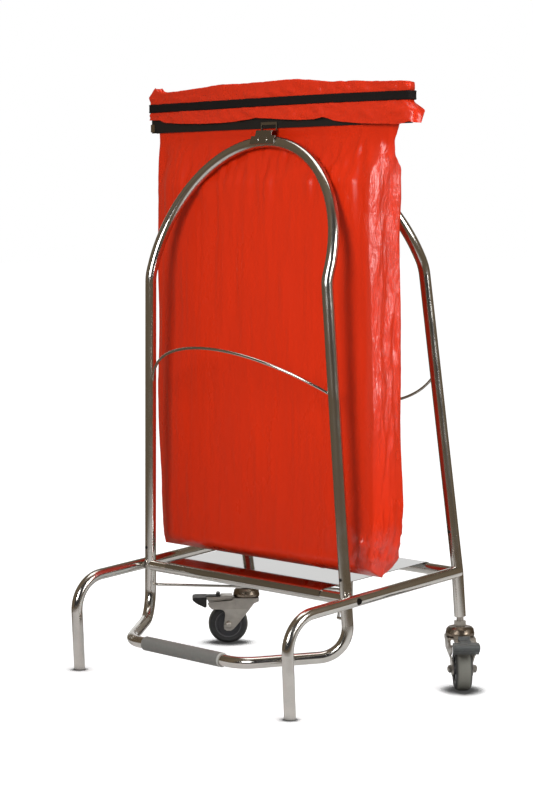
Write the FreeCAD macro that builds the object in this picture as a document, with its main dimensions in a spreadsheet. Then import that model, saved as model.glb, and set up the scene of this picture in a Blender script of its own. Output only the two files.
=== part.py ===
import FreeCAD, Part
import math
import os
import Sketcher

# A free-standing holder for one bin bag, bent from round steel tube. Two rails run back from
# the front legs to two upright posts on castors. A rear hoop stands fixed on the posts. A front
# hoop and its foot pedal are one lever, which turns in the rails and opens the bag's mouth.
# +X is the right-hand side seen from the front, +Y points back, +Z up, in millimetres. The
# origin is on the floor below the middle of the object.

doc = FreeCAD.newDocument("BagHolder")
sheet = doc.addObject("Spreadsheet::Sheet", "Sizes")

# Driving dimensions. Distances called _back are measured from the line through the two feet.
SIZES = [
    ("origin_back", 207.7, "middle of the object behind the feet"),
    ("tube_od", 20, "outside diameter of the frame tubes"),
    ("tube_wall", 1.5, "wall of the frame tubes"),
    ("fit_gap", 0.3, "gap between pieces that lie against each other"),
    ("run_gap", 0.05, "radial clearance of a running pin"),
    ("rail_half_span", 280, "middle plane to the axis of a side rail"),
    ("leg_forward", 8, "lean of a leg, from its foot to the rail"),
    ("rail_front_height", 163, "rail axis above the floor at the leg"),
    ("rail_bend", 60, "bend radius between leg and rail"),
    ("post_back", 395, "rear post axis where the rail meets it"),
    ("post_height", 201.6, "rail axis above the floor at the rear post"),
    ("post_half_span", 278, "middle plane to the rear post at the rail"),
    ("post_foot_height", 123, "lower end of a rear post above the floor"),
    ("post_foot_half_span", 279.5, "middle plane to the lower end of a rear post"),
    ("post_foot_back", 400.5, "lower end of a rear post behind the feet"),
    ("rear_seam_height", 263, "joint of rear post and rear hoop"),
    ("rear_shoulder_half_span", 230, "middle plane to the rear hoop's shoulder"),
    ("rear_shoulder_back", 357, "rear hoop's shoulder behind the feet"),
    ("rear_shoulder_height", 727, "rear hoop's shoulder above the floor"),
    ("rear_arch_lean", -30, "lean of the rear arch, forwards"),
    ("arch_rise", 246, "shoulder to the top of an arch, along the arch"),
    ("shoulder_bend", 60, "bend radius at a shoulder"),
    ("pivot_back", 147, "pedal pivot behind the feet"),
    ("lever_half_span", 257.5, "middle plane to the lever's tube at the pivot"),
    ("front_seam_height", 203, "joint of pedal bow and front hoop"),
    ("front_shoulder_half_span", 230, "middle plane to the front hoop's shoulder"),
    ("front_shoulder_back", 128, "front hoop's shoulder behind the feet"),
    ("front_shoulder_height", 708, "front hoop's shoulder above the floor"),
    ("front_arch_lean", 17.3, "lean of the front arch, backwards"),
    ("bow_corner_height", 84, "corner of the pedal bow below the pivot"),
    ("bow_bend", 50, "bend radius below the pivot"),
    ("bar_half_length", 146.5, "middle plane to the pedal bar's corner"),
    ("bar_back", 10, "pedal bar behind the feet"),
    ("bar_height", 71, "pedal bar above the floor"),
    ("bar_bend", 60, "bend radius of the pedal bar's corners"),
    ("sleeve_od", 25, "outside of the pedal's rubber sleeve"),
    ("sleeve_length", 202, "length of the pedal's rubber sleeve"),
    ("spigot_length", 30, "length of the spigot inside a seam"),
    ("rivet_dia", 6, "head of a seam rivet"),
    ("rivet_rim", 0.6, "height of a rivet head's edge"),
    ("rivet_crown", 0.9, "height of a rivet head above its edge"),
    ("rivet_above_seam", 8, "seam rivet above the seam"),
    ("bolt_dia", 8, "shank of a pivot bolt"),
    ("bolt_head_dia", 11, "head of a pivot bolt"),
    ("bolt_head_height", 5, "height of a pivot bolt's head"),
    ("bush_length", 24, "length of the bush in the pivot tube"),
    ("rear_cross_drop", 3, "rear cross tube below the rail axis"),
    ("tray_half_width", 203, "half the width of the bottom tray"),
    ("tray_gauge", 1, "sheet thickness of the tray"),
    ("wire_dia", 5, "diameter of the retaining bows and the return rod"),
    ("front_wire_height", 519, "ends of the front retaining bow"),
    ("front_wire_forward", 80, "reach of the front bow in front of its ends"),
    ("front_wire_rise", 70, "rise of the front bow above its ends"),
    ("rear_wire_height", 537, "ends of the rear retaining bow"),
    ("rear_wire_backward", 57, "reach of the rear bow behind its ends"),
    ("rear_wire_drop", 60, "drop of the rear bow below its ends"),
    ("rod_below_pivot", 34, "return rod's ends below the pedal pivot"),
    ("rod_drop", 6, "fall of the return rod towards the back"),
    ("rod_loop_bend", 25, "bend radius of the return rod's loop"),
    ("guide_width", 74, "width of the return rod's guide"),
    ("guide_gauge", 3, "thickness of the return rod's guide"),
    ("guide_forward", 21, "guide plate in front of the rear cross tube's axis"),
    ("guide_side", 5, "guide plate beside its slot"),
    ("return_lift", 3, "room for the return rod to rise in its guide"),
    ("mouth_back", 220, "middle of the mouth behind the feet"),
    ("jaw_half_length", 330, "half the length of a mouth strip"),
    ("jaw_gauge", 2.5, "thickness of a mouth strip"),
    ("jaw_foot_height", 966, "lower edge of the mouth strips"),
    ("jaw_width", 64, "height of a mouth strip"),
    ("jaw_middle_gap", 11, "mouth plane to a strip at its middle"),
    ("jaw_end_gap", 5.5, "mouth plane to a strip at its ends"),
    ("bracket_gauge", 1.5, "sheet thickness of the arch brackets"),
    ("bracket_width", 42, "width of a bracket's lip"),
    ("bracket_foot_width", 62, "width of a bracket's foot on the tube"),
    ("bracket_lip_height", 16, "height of a bracket's upturned lip"),
    ("bracket_seat_height", 961, "underside of a bracket's seat"),
    ("clip_height", 14, "height of an end clip"),
    ("clip_gauge", 1, "sheet thickness of an end clip"),
    ("clip_reach", 10, "how far an end clip reaches along the strips"),
    ("film_wall", 1, "wall of the bag, thicker than the film"),
    ("bag_foot_height", 208, "bottom of the bag above the floor"),
    ("bag_half_width", 289, "half the width of the hanging bag"),
    ("neck_half_width", 311, "half the width of the bag's flat neck"),
    ("neck_foot_height", 915, "where the bag closes to its flat neck"),
    ("bag_shoulder_height", 862, "where the bag starts to narrow towards its neck"),
    ("bag_depth", 56, "depth of the bag below its mouth"),
    ("collar_foot_height", 986, "lower edge of the film folded over the mouth"),
    ("strap_width", 15, "height of the elastic strap"),
    ("strap_foot_height", 1004, "lower edge of the elastic strap"),
    ("strap_gauge", 1.6, "thickness of the elastic strap"),
    ("wheel_dia", 75, "diameter of a castor wheel"),
    ("wheel_width", 28, "width of a castor wheel"),
    ("hub_dia", 50, "diameter of the wheel's core"),
    ("castor_trail", 35, "swivel axis to wheel axle"),
    ("castor_left_turn", 230.3, "where the left castor trails"),
    ("castor_right_turn", 320.3, "where the right castor trails"),
    ("head_dia", 50, "diameter of the swivel head"),
    ("head_foot_height", 89, "underside of the swivel head"),
    ("head_height", 17, "height of the swivel head"),
    ("head_dish", 1, "depth of the dish in the swivel head's top"),
    ("stem_dia", 12, "threaded stem of a castor"),
    ("nut_width", 19, "lock nut across its flats"),
    ("nut_height", 9, "height of the lock nut"),
    ("fork_gap", 31, "inside width of a castor fork"),
    ("fork_gauge", 2.5, "sheet thickness of a castor fork"),
    ("fork_flare", 6.5, "how far the fork's crown stands out beyond its cheeks"),
    ("axle_dia", 8, "axle bolt of a castor"),
    ("brake_pin_out", 13, "brake pin beyond the wheel axle"),
    ("brake_pin_rise", 41.5, "brake pin above the wheel axle"),
    ("brake_pin_dia", 4, "diameter of the brake pin"),
    ("brake_lever_width", 29, "width of the brake lever"),
    ("brake_tip_width", 44, "width of the brake's toe piece"),
    ("brake_knob_width", 20, "width of the brake's release knob"),
    ("plug_depth", 16, "depth of an end plug in its tube"),
]
for row, (name, value, note) in enumerate(SIZES, 1):
    sheet.set(f"A{row}", note)
    sheet.set(f"B{row}", str(value))
    sheet.setAlias(f"B{row}", name)
doc.recompute()


def size(name):
    return float(sheet.get(name))


def place(x, back, height):
    """A point given by its distance behind the feet."""
    return FreeCAD.Vector(x, back - size("origin_back"), height)


# Sketches and paths

def origin_plane(body, role):
    return [f for f in body.Origin.OriginFeatures if f.Role == role][0]


def new_body(label):
    body = doc.addObject("PartDesign::Body", "body_" + label)
    body.Label = label
    return body


def new_sketch(body, role, name):
    sketch = body.newObject("Sketcher::SketchObject", name)
    sketch.AttachmentSupport = [(origin_plane(body, role), "")]
    sketch.MapMode = "FlatFace"
    return sketch


def bind(target, path, expression):
    target.setExpression(path, expression)


def pin_point(sketch, geometry, position, across, up):
    """Hold one point of the sketch at two expressions of the sheet's sizes."""
    where = sketch.getPoint(geometry, position)
    for kind, now, text in (("DistanceX", where.x, across), ("DistanceY", where.y, up)):
        number = sketch.addConstraint(Sketcher.Constraint(kind, -1, 1, geometry, position, now))
        bind(sketch, f"Constraints[{number}]", text)


def value_of(expression):
    """The value of an expression of the sheet's sizes, worked out by the sheet itself."""
    return float(sheet.evalExpression(expression.replace("Sizes.", "")))


def outline(sketch, points):
    """A closed outline of straight lines through points given as pairs of expressions."""
    spots = [FreeCAD.Vector(value_of(a), value_of(b), 0) for a, b in points]
    count = len(spots)
    for i in range(count):
        sketch.addGeometry(Part.LineSegment(spots[i], spots[(i + 1) % count]))
    for i in range(count):
        sketch.addConstraint(Sketcher.Constraint("Coincident", i, 2, (i + 1) % count, 1))
    for i, (across, up) in enumerate(points):
        pin_point(sketch, i, 1, across, up)


def ring(sketch, diameters):
    """Circles about the sketch's origin, their diameters given as expressions."""
    for text in diameters:
        half = value_of(text) / 2
        number = sketch.addGeometry(Part.Circle(FreeCAD.Vector(), FreeCAD.Vector(0, 0, 1), half))
        sketch.addConstraint(Sketcher.Constraint("Coincident", number, 3, -1, 1))
        radius = sketch.addConstraint(Sketcher.Constraint("Radius", number, half))
        bind(sketch, f"Constraints[{radius}]", f"({text}) / 2")


def corner_path(points):
    """A wire of straight runs joined by tangent arcs. Each point is (vector, bend radius)."""
    spots = [spot for spot, _ in points]
    edges = []
    here = spots[0]
    for i in range(1, len(points) - 1):
        corner, radius = points[i]
        towards = (corner - spots[i - 1]).normalize()
        away = (spots[i + 1] - corner).normalize()
        turn = towards.getAngle(away)
        reach = radius * math.tan(turn / 2)
        start = corner - towards * reach
        end = corner + away * reach
        inward = (away - towards).normalize()
        middle = corner + inward * (radius / math.cos(turn / 2) - radius)
        if (start - here).Length > 1e-6:
            edges.append(Part.LineSegment(here, start).toShape())
        edges.append(Part.Arc(start, middle, end).toShape())
        here = end
    if (spots[-1] - here).Length > 1e-6:
        edges.append(Part.LineSegment(here, spots[-1]).toShape())
    return Part.Wire(edges)


def swept_round(path, diameter):
    """A round bar along a wire."""
    start = path.Edges[0].firstVertex(True).Point
    tangent = path.Edges[0].tangentAt(path.Edges[0].FirstParameter)
    circle = Part.Wire([Part.makeCircle(diameter / 2, start, tangent)])
    return path.makePipeShell([circle], True, False)


def bent_tube(points):
    """A hollow frame tube along straight runs and bends."""
    path = corner_path(points)
    outer = swept_round(path, size("tube_od"))
    inner = swept_round(path, size("tube_od") - 2 * size("tube_wall"))
    return outer.cut(inner)


def straight_tube(start, end, outside, inside):
    axis = end - start
    tube = Part.makeCylinder(outside / 2, axis.Length, start, axis)
    if inside > 0:
        tube = tube.cut(Part.makeCylinder(inside / 2, axis.Length, start, axis))
    return tube


def feature(label, shape, placement=FreeCAD.Placement()):
    piece = doc.addObject("Part::Feature", "piece_" + label)
    piece.Label = label
    piece.Shape = shape
    piece.Placement = placement
    return piece


def cylinder_tool(name, diameter, start, direction, length):
    """A cylinder bound to the sheet, used to cut a seat or a hole."""
    tool = doc.addObject("Part::Cylinder", name)
    bind(tool, "Radius", f"({diameter}) / 2")
    tool.Height = length
    turn = FreeCAD.Rotation(FreeCAD.Vector(0, 0, 1), direction)
    tool.Placement = FreeCAD.Placement(start, turn)
    return tool


def cut(label, base, tools):
    fused = tools[0]
    if len(tools) > 1:
        fused = doc.addObject("Part::MultiFuse", "tools_" + label)
        fused.Shapes = tools
    piece = doc.addObject("Part::Cut", "cut_" + label)
    piece.Label = label
    piece.Base = base
    piece.Tool = fused
    return piece


nodes = []

# Lines that several pieces share

RIGHT = FreeCAD.Vector(1, 0, 0)
UP = FreeCAD.Vector(0, 0, 1)
tube_bore = size("tube_od") - 2 * size("tube_wall")


def rail_height(back):
    """Height of the rail axis above the floor, this far behind the feet."""
    run = size("post_back") + size("leg_forward")
    rise = size("post_height") - size("rail_front_height")
    return size("rail_front_height") + rise * (back + size("leg_forward")) / run


def rear_axis(height, side):
    """Point of a rear post's axis at a height; above the rail the hoop stands on the same line."""
    middle = FreeCAD.Vector(size("post_half_span"), size("post_back"), size("post_height"))
    far = FreeCAD.Vector(size("rear_shoulder_half_span"), size("rear_shoulder_back"),
                         size("rear_shoulder_height"))
    if height < middle.z:
        far = FreeCAD.Vector(size("post_foot_half_span"), size("post_foot_back"), size("post_foot_height"))
    spot = middle + (far - middle) * ((height - middle.z) / (far.z - middle.z))
    return place(side * spot.x, spot.y, height)


pivot_height = rail_height(size("pivot_back"))


def lever_axis(height, side):
    """Point of the lever's upright tube at a height, above or below the pivot."""
    low = FreeCAD.Vector(size("lever_half_span"), size("pivot_back"), pivot_height)
    high = FreeCAD.Vector(size("front_shoulder_half_span"), size("front_shoulder_back"),
                          size("front_shoulder_height"))
    spot = low + (high - low) * ((height - low.z) / (high.z - low.z))
    return place(side * spot.x, spot.y, height)


def arch_top(half_span, back, height, lean):
    """The two upper corners of an arch, where its two quarter bends meet."""
    tilt = math.radians(lean)
    rise = size("arch_rise")
    return [place(side * half_span, back + rise * math.sin(tilt), height + rise * math.cos(tilt))
            for side in (1, -1)]


rear_top = arch_top(size("rear_shoulder_half_span"), size("rear_shoulder_back"),
                    size("rear_shoulder_height"), size("rear_arch_lean"))
front_top = arch_top(size("front_shoulder_half_span"), size("front_shoulder_back"),
                     size("front_shoulder_height"), size("front_arch_lean"))


# Base: side rails with their legs, each one bent tube

def leg_and_rail(side, name):
    body = new_body("rail_tube_" + name)
    path = new_sketch(body, "YZ_Plane", "rail_path_" + name)
    foot = FreeCAD.Vector(-size("origin_back"), 0, 0)
    corner = foot + FreeCAD.Vector(-size("leg_forward"), size("rail_front_height"), 0)
    rear = FreeCAD.Vector(size("post_back") - size("origin_back"), size("post_height"), 0)
    wire = corner_path([(foot, 0), (corner, size("rail_bend")), (rear, 0)])
    for edge in wire.Edges:
        curve = edge.Curve
        if isinstance(curve, Part.Circle):
            middle = edge.valueAt((edge.FirstParameter + edge.LastParameter) / 2)
            ends = [v.Point for v in edge.Vertexes]
            path.addGeometry(Part.Arc(ends[0], middle, ends[1]))
        else:
            ends = [v.Point for v in edge.Vertexes]
            path.addGeometry(Part.LineSegment(ends[0], ends[1]))
    path.addGeometry(Part.Point(corner), True)
    bind_bent_path(path)
    section = new_sketch(body, "XY_Plane", "rail_section_" + name)
    bind(section, "AttachmentOffset.Base.y", "-Sizes.origin_back")
    ring(section, ["Sizes.tube_od", "Sizes.tube_od - 2 * Sizes.tube_wall"])
    pipe = body.newObject("PartDesign::AdditivePipe", "rail_pipe_" + name)
    pipe.Profile = section
    pipe.Spine = (path, ["Edge1", "Edge2", "Edge3"])
    pipe.Mode = "Frenet"
    body.Placement.Base.x = side * size("rail_half_span")
    bind(body, "Placement.Base.x", f"{side} * Sizes.rail_half_span")
    return body


def bind_bent_path(path):
    """Hold a line, arc, line path by its ends, its corner point and its bend radius."""
    add = path.addConstraint
    first_end = 2 if path.getPoint(0, 2).distanceToPoint(path.getPoint(1, 1)) < 1e-6 \
        or path.getPoint(0, 2).distanceToPoint(path.getPoint(1, 2)) < 1e-6 else 1
    arc_start = 1 if path.getPoint(1, 1).distanceToPoint(path.getPoint(0, first_end)) < 1e-6 else 2
    arc_end = 3 - arc_start
    last_start = 1 if path.getPoint(2, 1).distanceToPoint(path.getPoint(1, arc_end)) < 1e-6 else 2
    add(Sketcher.Constraint("Tangent", 0, first_end, 1, arc_start))
    add(Sketcher.Constraint("Tangent", 1, arc_end, 2, last_start))
    add(Sketcher.Constraint("PointOnObject", 3, 1, 0))
    add(Sketcher.Constraint("PointOnObject", 3, 1, 2))
    radius = add(Sketcher.Constraint("Radius", 1, size("rail_bend")))
    bind(path, f"Constraints[{radius}]", "Sizes.rail_bend")
    pin_point(path, 0, 3 - first_end, "-Sizes.origin_back", "0")
    pin_point(path, 3, 1, "-Sizes.origin_back - Sizes.leg_forward", "Sizes.rail_front_height")
    pin_point(path, 2, 3 - last_start, "Sizes.post_back - Sizes.origin_back", "Sizes.post_height")


def post_path(side):
    foot = rear_axis(size("post_foot_height"), side)
    knee = rear_axis(size("post_height"), side)
    seam = rear_axis(size("rear_seam_height"), side)
    return corner_path([(foot, 0), (knee, size("rail_bend")), (seam, 0)])


def post_solid(side, name):
    """The full round of a rear post, which the tubes that meet it are coped to."""
    tool = doc.addObject("Part::Feature", "post_solid_" + name)
    tool.Shape = swept_round(post_path(side), size("tube_od"))
    return tool


def side_rail(side, name):
    tube = leg_and_rail(side, name)
    cope = post_solid(side, name)
    x_out = side * size("rail_half_span")
    middle = place(x_out, size("pivot_back"), pivot_height)
    outwards = RIGHT * side
    access = cylinder_tool("bolt_access_" + name, "Sizes.bolt_head_dia + 2 * Sizes.fit_gap",
                           middle, outwards, size("tube_od"))
    through = cylinder_tool("bolt_hole_" + name, "Sizes.bolt_dia + 2 * Sizes.run_gap",
                            middle, outwards * -1, size("tube_od"))
    return cut("side_rail_" + name, tube, [cope, access, through])


for side, name in ((-1, "left"), (1, "right")):
    nodes.append(side_rail(side, name))


def end_plug(start, direction):
    """A flush plastic plug in a tube's open end, with a thin flange."""
    gap = size("fit_gap") / 3
    body = Part.makeCylinder(tube_bore / 2 - gap, size("plug_depth"), start, direction)
    return body


def foot_plugs():
    plugs = []
    wide = 3 * size("tube_od")
    for side in (-1, 1):
        foot = place(side * size("rail_half_span"), 0, 0)
        upwards = FreeCAD.Vector(0, -size("leg_forward"), size("rail_front_height"))
        plug = end_plug(foot - upwards.normalize() * 5, upwards)
        floor = Part.makeBox(wide, wide, wide, foot - FreeCAD.Vector(wide / 2, wide / 2, wide))
        plugs.append(plug.cut(floor))
    return feature("foot_plugs", Part.makeCompound(plugs))


nodes.append(foot_plugs())


# Rear posts, each welded to the end of its rail, with a spigot for the hoop

def with_spigot(tube, seam, direction):
    outside = tube_bore - 2 * size("fit_gap") / 3
    reach = size("spigot_length")
    start = seam - direction * reach
    spigot = straight_tube(start, seam + direction * reach, outside, outside - 2 * size("tube_wall"))
    seat = Part.makeCylinder(tube_bore / 2, reach, start, direction)
    shell = seat.cut(Part.makeCylinder(outside / 2, reach, start, direction))
    return tube.fuse([spigot, shell]).removeSplitter()


def rear_post(side, name):
    seam = rear_axis(size("rear_seam_height"), side)
    upwards = (seam - rear_axis(size("post_height"), side)).normalize()
    path = post_path(side)
    tube = swept_round(path, size("tube_od")).cut(swept_round(path, tube_bore))
    return feature("rear_post_" + name, with_spigot(tube, seam, upwards))


for side, name in ((-1, "left"), (1, "right")):
    nodes.append(rear_post(side, name))


# Rear hoop, one tube bent over from seam to seam

def hoop_points(axis, seam_height, shoulder, top, half_span):
    """A hoop's corners; its two upper bends meet at the top, or leave a straight run on a wide hoop."""
    lift = size("fit_gap")
    shoulder_run = size("shoulder_bend") / 4
    top_bend = min(half_span, size("arch_rise") - shoulder_run)
    right = [(axis(seam_height + lift, 1), 0), (shoulder(1), size("shoulder_bend"))]
    left = [(shoulder(-1), size("shoulder_bend")), (axis(seam_height + lift, -1), 0)]
    return right + [(top[0], top_bend), (top[1], top_bend)] + left


def rear_shoulder(side):
    return place(side * size("rear_shoulder_half_span"), size("rear_shoulder_back"),
                 size("rear_shoulder_height"))


rear_points = hoop_points(rear_axis, size("rear_seam_height"), rear_shoulder, rear_top,
                          size("rear_shoulder_half_span"))
nodes.append(feature("rear_hoop", bent_tube(rear_points)))


# Rear cross tube between the posts, with the guide for the return rod under its middle

cross_height = size("post_height") - size("rear_cross_drop")


def rear_cross_tube():
    ends = [rear_axis(cross_height, side) for side in (-1, 1)]
    outer = straight_tube(ends[0], ends[1], size("tube_od"), tube_bore)
    for side in (-1, 1):
        rail_x = side * size("rail_half_span")
        rail_start = place(rail_x, 0, rail_height(0))
        rail_end = place(rail_x, size("post_back"), rail_height(size("post_back")))
        outer = outer.cut(straight_tube(rail_start, rail_end, size("tube_od"), 0))
        outer = outer.cut(swept_round(post_path(side), size("tube_od")))
    return feature("rear_cross_tube", outer)


nodes.append(rear_cross_tube())
cross_middle = place(0, rear_axis(cross_height, 1).y + size("origin_back"), cross_height)


# Front hoop, and below it the pedal bow: together one lever that turns in the rails

def front_shoulder(side):
    return place(side * size("front_shoulder_half_span"), size("front_shoulder_back"),
                 size("front_shoulder_height"))


front_points = hoop_points(lever_axis, size("front_seam_height"), front_shoulder, front_top,
                           size("front_shoulder_half_span"))
nodes.append(feature("front_hoop", bent_tube(front_points)))


def pedal_bow():
    seams = {side: lever_axis(size("front_seam_height"), side) for side in (-1, 1)}
    corners = {side: lever_axis(size("bow_corner_height"), side) for side in (-1, 1)}
    bar = {side: place(side * size("bar_half_length"), size("bar_back"), size("bar_height"))
           for side in (-1, 1)}
    points = [(seams[1], 0), (corners[1], size("bow_bend")), (bar[1], size("bar_bend")),
              (bar[-1], size("bar_bend")), (corners[-1], size("bow_bend")), (seams[-1], 0)]
    tube = bent_tube(points)
    for side in (-1, 1):
        upwards = (seams[side] - corners[side]).normalize()
        tube = with_spigot(tube, seams[side], upwards)
        pin = place(side * (size("rail_half_span") + size("tube_od")), size("pivot_back"), pivot_height)
        hole = Part.makeCylinder(size("bolt_dia") / 2 + size("run_gap"), 3 * size("tube_od"), pin,
                                 RIGHT * -side)
        tube = tube.cut(hole)
        tube = tube.cut(rod_hole(side))
    return feature("pedal_bow", tube)


def rod_end(side):
    return lever_axis(pivot_height - size("rod_below_pivot"), side)


def rod_hole(side):
    return Part.makeCylinder(size("wire_dia") / 2 + size("run_gap"), size("tube_od"),
                             rod_end(side), RIGHT * -side)


nodes.append(pedal_bow())


def pedal_sleeve():
    body = new_body("pedal_sleeve")
    section = new_sketch(body, "YZ_Plane", "sleeve_section")
    ring(section, ["Sizes.sleeve_od", "Sizes.tube_od + Sizes.fit_gap"])
    pad = body.newObject("PartDesign::Pad", "sleeve_pad")
    pad.Profile = section
    pad.Midplane = True
    bind(pad, "Length", "Sizes.sleeve_length")
    bind(body, "Placement.Base.y", "Sizes.bar_back - Sizes.origin_back")
    bind(body, "Placement.Base.z", "Sizes.bar_height")
    return body


nodes.append(pedal_sleeve())


# Pivot tube across the lever, a bush in each end, and the bolts that carry it in the rails

def pivot_tube():
    ends = [place(side * size("lever_half_span"), size("pivot_back"), pivot_height) for side in (-1, 1)]
    tube = straight_tube(ends[0], ends[1], size("tube_od"), tube_bore)
    for side in (-1, 1):
        low = lever_axis(pivot_height - 2 * size("tube_od"), side)
        high = lever_axis(size("front_seam_height"), side)
        tube = tube.cut(straight_tube(low, high, size("tube_od"), 0))
    return feature("pivot_tube", tube)


def pivot_bushes():
    bushes = []
    for side in (-1, 1):
        inner = side * (size("lever_half_span") - size("tube_od") / 2 - 2)
        start = place(inner, size("pivot_back"), pivot_height)
        end = start - RIGHT * (side * size("bush_length"))
        bushes.append(straight_tube(start, end, tube_bore - 2 * size("fit_gap") / 3,
                                    size("bolt_dia") + 2 * size("run_gap")))
    return feature("pivot_bushes", Part.makeCompound(bushes))


def pivot_bolts():
    bolts = []
    for side in (-1, 1):
        face = side * (size("rail_half_span") + size("tube_od") / 2 - 1)
        head = place(face, size("pivot_back"), pivot_height)
        shank_end = place(side * (size("lever_half_span") - size("tube_od") / 2 - size("bush_length")),
                          size("pivot_back"), pivot_height)
        bolt = straight_tube(head, shank_end, size("bolt_dia"), 0)
        cap = straight_tube(head, head - RIGHT * (side * size("bolt_head_height")), size("bolt_head_dia"), 0)
        bolts.append(bolt.fuse(cap).removeSplitter())
    return feature("pivot_bolts", Part.makeCompound(bolts))


def pivot_washers():
    """One thin spacer a side, between the rail and the lever."""
    washers = []
    for side in (-1, 1):
        rail_face = size("rail_half_span") - size("tube_od") / 2
        lever_face = size("lever_half_span") + size("tube_od") / 2
        start = place(side * (rail_face - size("fit_gap")), size("pivot_back"), pivot_height)
        end = place(side * (lever_face + 2.5 * size("fit_gap")), size("pivot_back"), pivot_height)
        bore = size("bolt_dia") + 2 * size("run_gap")
        washers.append(straight_tube(start, end, 2 * size("bolt_dia"), bore))
    return feature("pivot_washers", Part.makeCompound(washers))


nodes += [pivot_tube(), pivot_bushes(), pivot_bolts(), pivot_washers()]


# Rivets that lock the four seams, on the front face of each tube

def rivet_head(foot):
    """A low head with a twelve-sided edge that slopes in to its crown, facing forwards."""
    forwards = FreeCAD.Vector(0, -1, 0)
    rings = []
    for reach, width in ((0, 1), (size("rivet_rim"), 1), (size("rivet_rim") + size("rivet_crown"), 0.5)):
        half = size("rivet_dia") / 2 * width
        corners = [FreeCAD.Vector(half * math.cos(math.radians(30 * i)), 0,
                                  half * math.sin(math.radians(30 * i))) for i in range(13)]
        rings.append(Part.makePolygon([foot + forwards * reach + corner for corner in corners]))
    return Part.makeLoft(rings, True, True)


def seam_rivets(label, axis, seam_height):
    rivets = []
    for side in (-1, 1):
        spot = axis(seam_height + size("rivet_above_seam"), side)
        out = spot - FreeCAD.Vector(0, size("tube_od") / 2 + size("fit_gap"), 0)
        rivets.append(rivet_head(out))
    return feature(label, Part.makeCompound(rivets))


nodes.append(seam_rivets("front_seam_rivets", lever_axis, size("front_seam_height")))
nodes.append(seam_rivets("rear_seam_rivets", rear_axis, size("rear_seam_height")))


# Retaining bows: one arc of wire from post to post, in front of the bag and behind it

def wire_bow(label, axis, height, along, upward):
    """An arc of wire from post to post, which leaves them towards (along, upward)."""
    ends = axis(height, 1)
    inner = ends.x - size("tube_od") / 2 + size("tube_wall")
    sagitta = math.hypot(along, upward)
    radius = (inner ** 2 + sagitta ** 2) / (2 * sagitta)
    half_angle = math.degrees(math.asin(inner / radius))
    wire = doc.addObject("Part::Torus", "arc_" + label)
    wire.Radius1 = radius
    bind(wire, "Radius2", "Sizes.wire_dia / 2")
    wire.Angle3 = 2 * half_angle
    tilt = FreeCAD.Rotation(RIGHT, math.degrees(math.atan2(upward, along)))
    spin = FreeCAD.Rotation(UP, 90 - half_angle)
    middle = FreeCAD.Vector(0, ends.y, height)
    wire.Placement = FreeCAD.Placement(middle + tilt.multVec(FreeCAD.Vector(0, sagitta - radius, 0)),
                                       tilt.multiply(spin))
    posts = []
    for side in (-1, 1):
        low = axis(height - 3 * size("tube_od"), side)
        high = axis(height + 3 * size("tube_od"), side)
        posts.append(cylinder_tool(f"post_at_{label}_{side + 1}", "Sizes.tube_od", low, high - low,
                                   (high - low).Length))
    return cut(label, wire, posts)


nodes.append(wire_bow("front_wire", lever_axis, size("front_wire_height"),
                      -size("front_wire_forward"), size("front_wire_rise")))
nodes.append(wire_bow("rear_wire", rear_axis, size("rear_wire_height"),
                      size("rear_wire_backward"), -size("rear_wire_drop")))


# Return rod: one bow of spring wire from the lever back to a guide under the rear cross tube

def return_rod():
    rod_height = pivot_height - size("rod_below_pivot")
    tip = size("tube_od") / 2 - size("tube_wall")
    elbow = 1.1 * size("tube_od")
    tips = {side: rod_end(side) - RIGHT * (side * tip) for side in (-1, 1)}
    elbows = {side: rod_end(side) - RIGHT * (side * elbow) for side in (-1, 1)}
    far = place(0, size("post_back") - 6, rod_height - size("rod_drop"))
    points = [(tips[1], 0), (elbows[1], size("wire_dia")), (far, size("rod_loop_bend")),
              (elbows[-1], size("wire_dia")), (tips[-1], 0)]
    return feature("return_rod", swept_round(corner_path(points), size("wire_dia")))


def rod_guide():
    """A plate that hangs from the rear cross tube, with a slot that the rod's loop slides in."""
    rod_height = pivot_height - size("rod_below_pivot") - size("rod_drop")
    plate_top = cross_height - size("tube_od") / 2 - size("fit_gap") / 3
    slot_foot = rod_height - size("wire_dia") / 2 - size("fit_gap")
    slot_top = rod_height + size("wire_dia") / 2 + size("return_lift")
    plate_foot = slot_foot - size("guide_side")
    width = size("guide_width")
    reach = size("guide_forward")
    side = size("guide_side")
    corner = FreeCAD.Vector(-width / 2, cross_middle.y - reach, plate_foot)
    plate = Part.makeBox(width, size("guide_gauge"), plate_top - plate_foot, corner)
    slot_corner = FreeCAD.Vector(-width / 2 + side, corner.y - 1, slot_foot)
    slot = Part.makeBox(width - 2 * side, size("guide_gauge") + 2, slot_top - slot_foot, slot_corner)
    arm_corner = FreeCAD.Vector(corner.x, corner.y, plate_top - size("guide_gauge"))
    arm = Part.makeBox(width, reach + size("tube_od") / 4, size("guide_gauge"), arm_corner)
    return feature("rod_guide", plate.fuse(arm).cut(slot).removeSplitter())


nodes += [return_rod(), rod_guide()]


# Bottom tray, one sheet hung over the two cross tubes by a curl at each end

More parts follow.
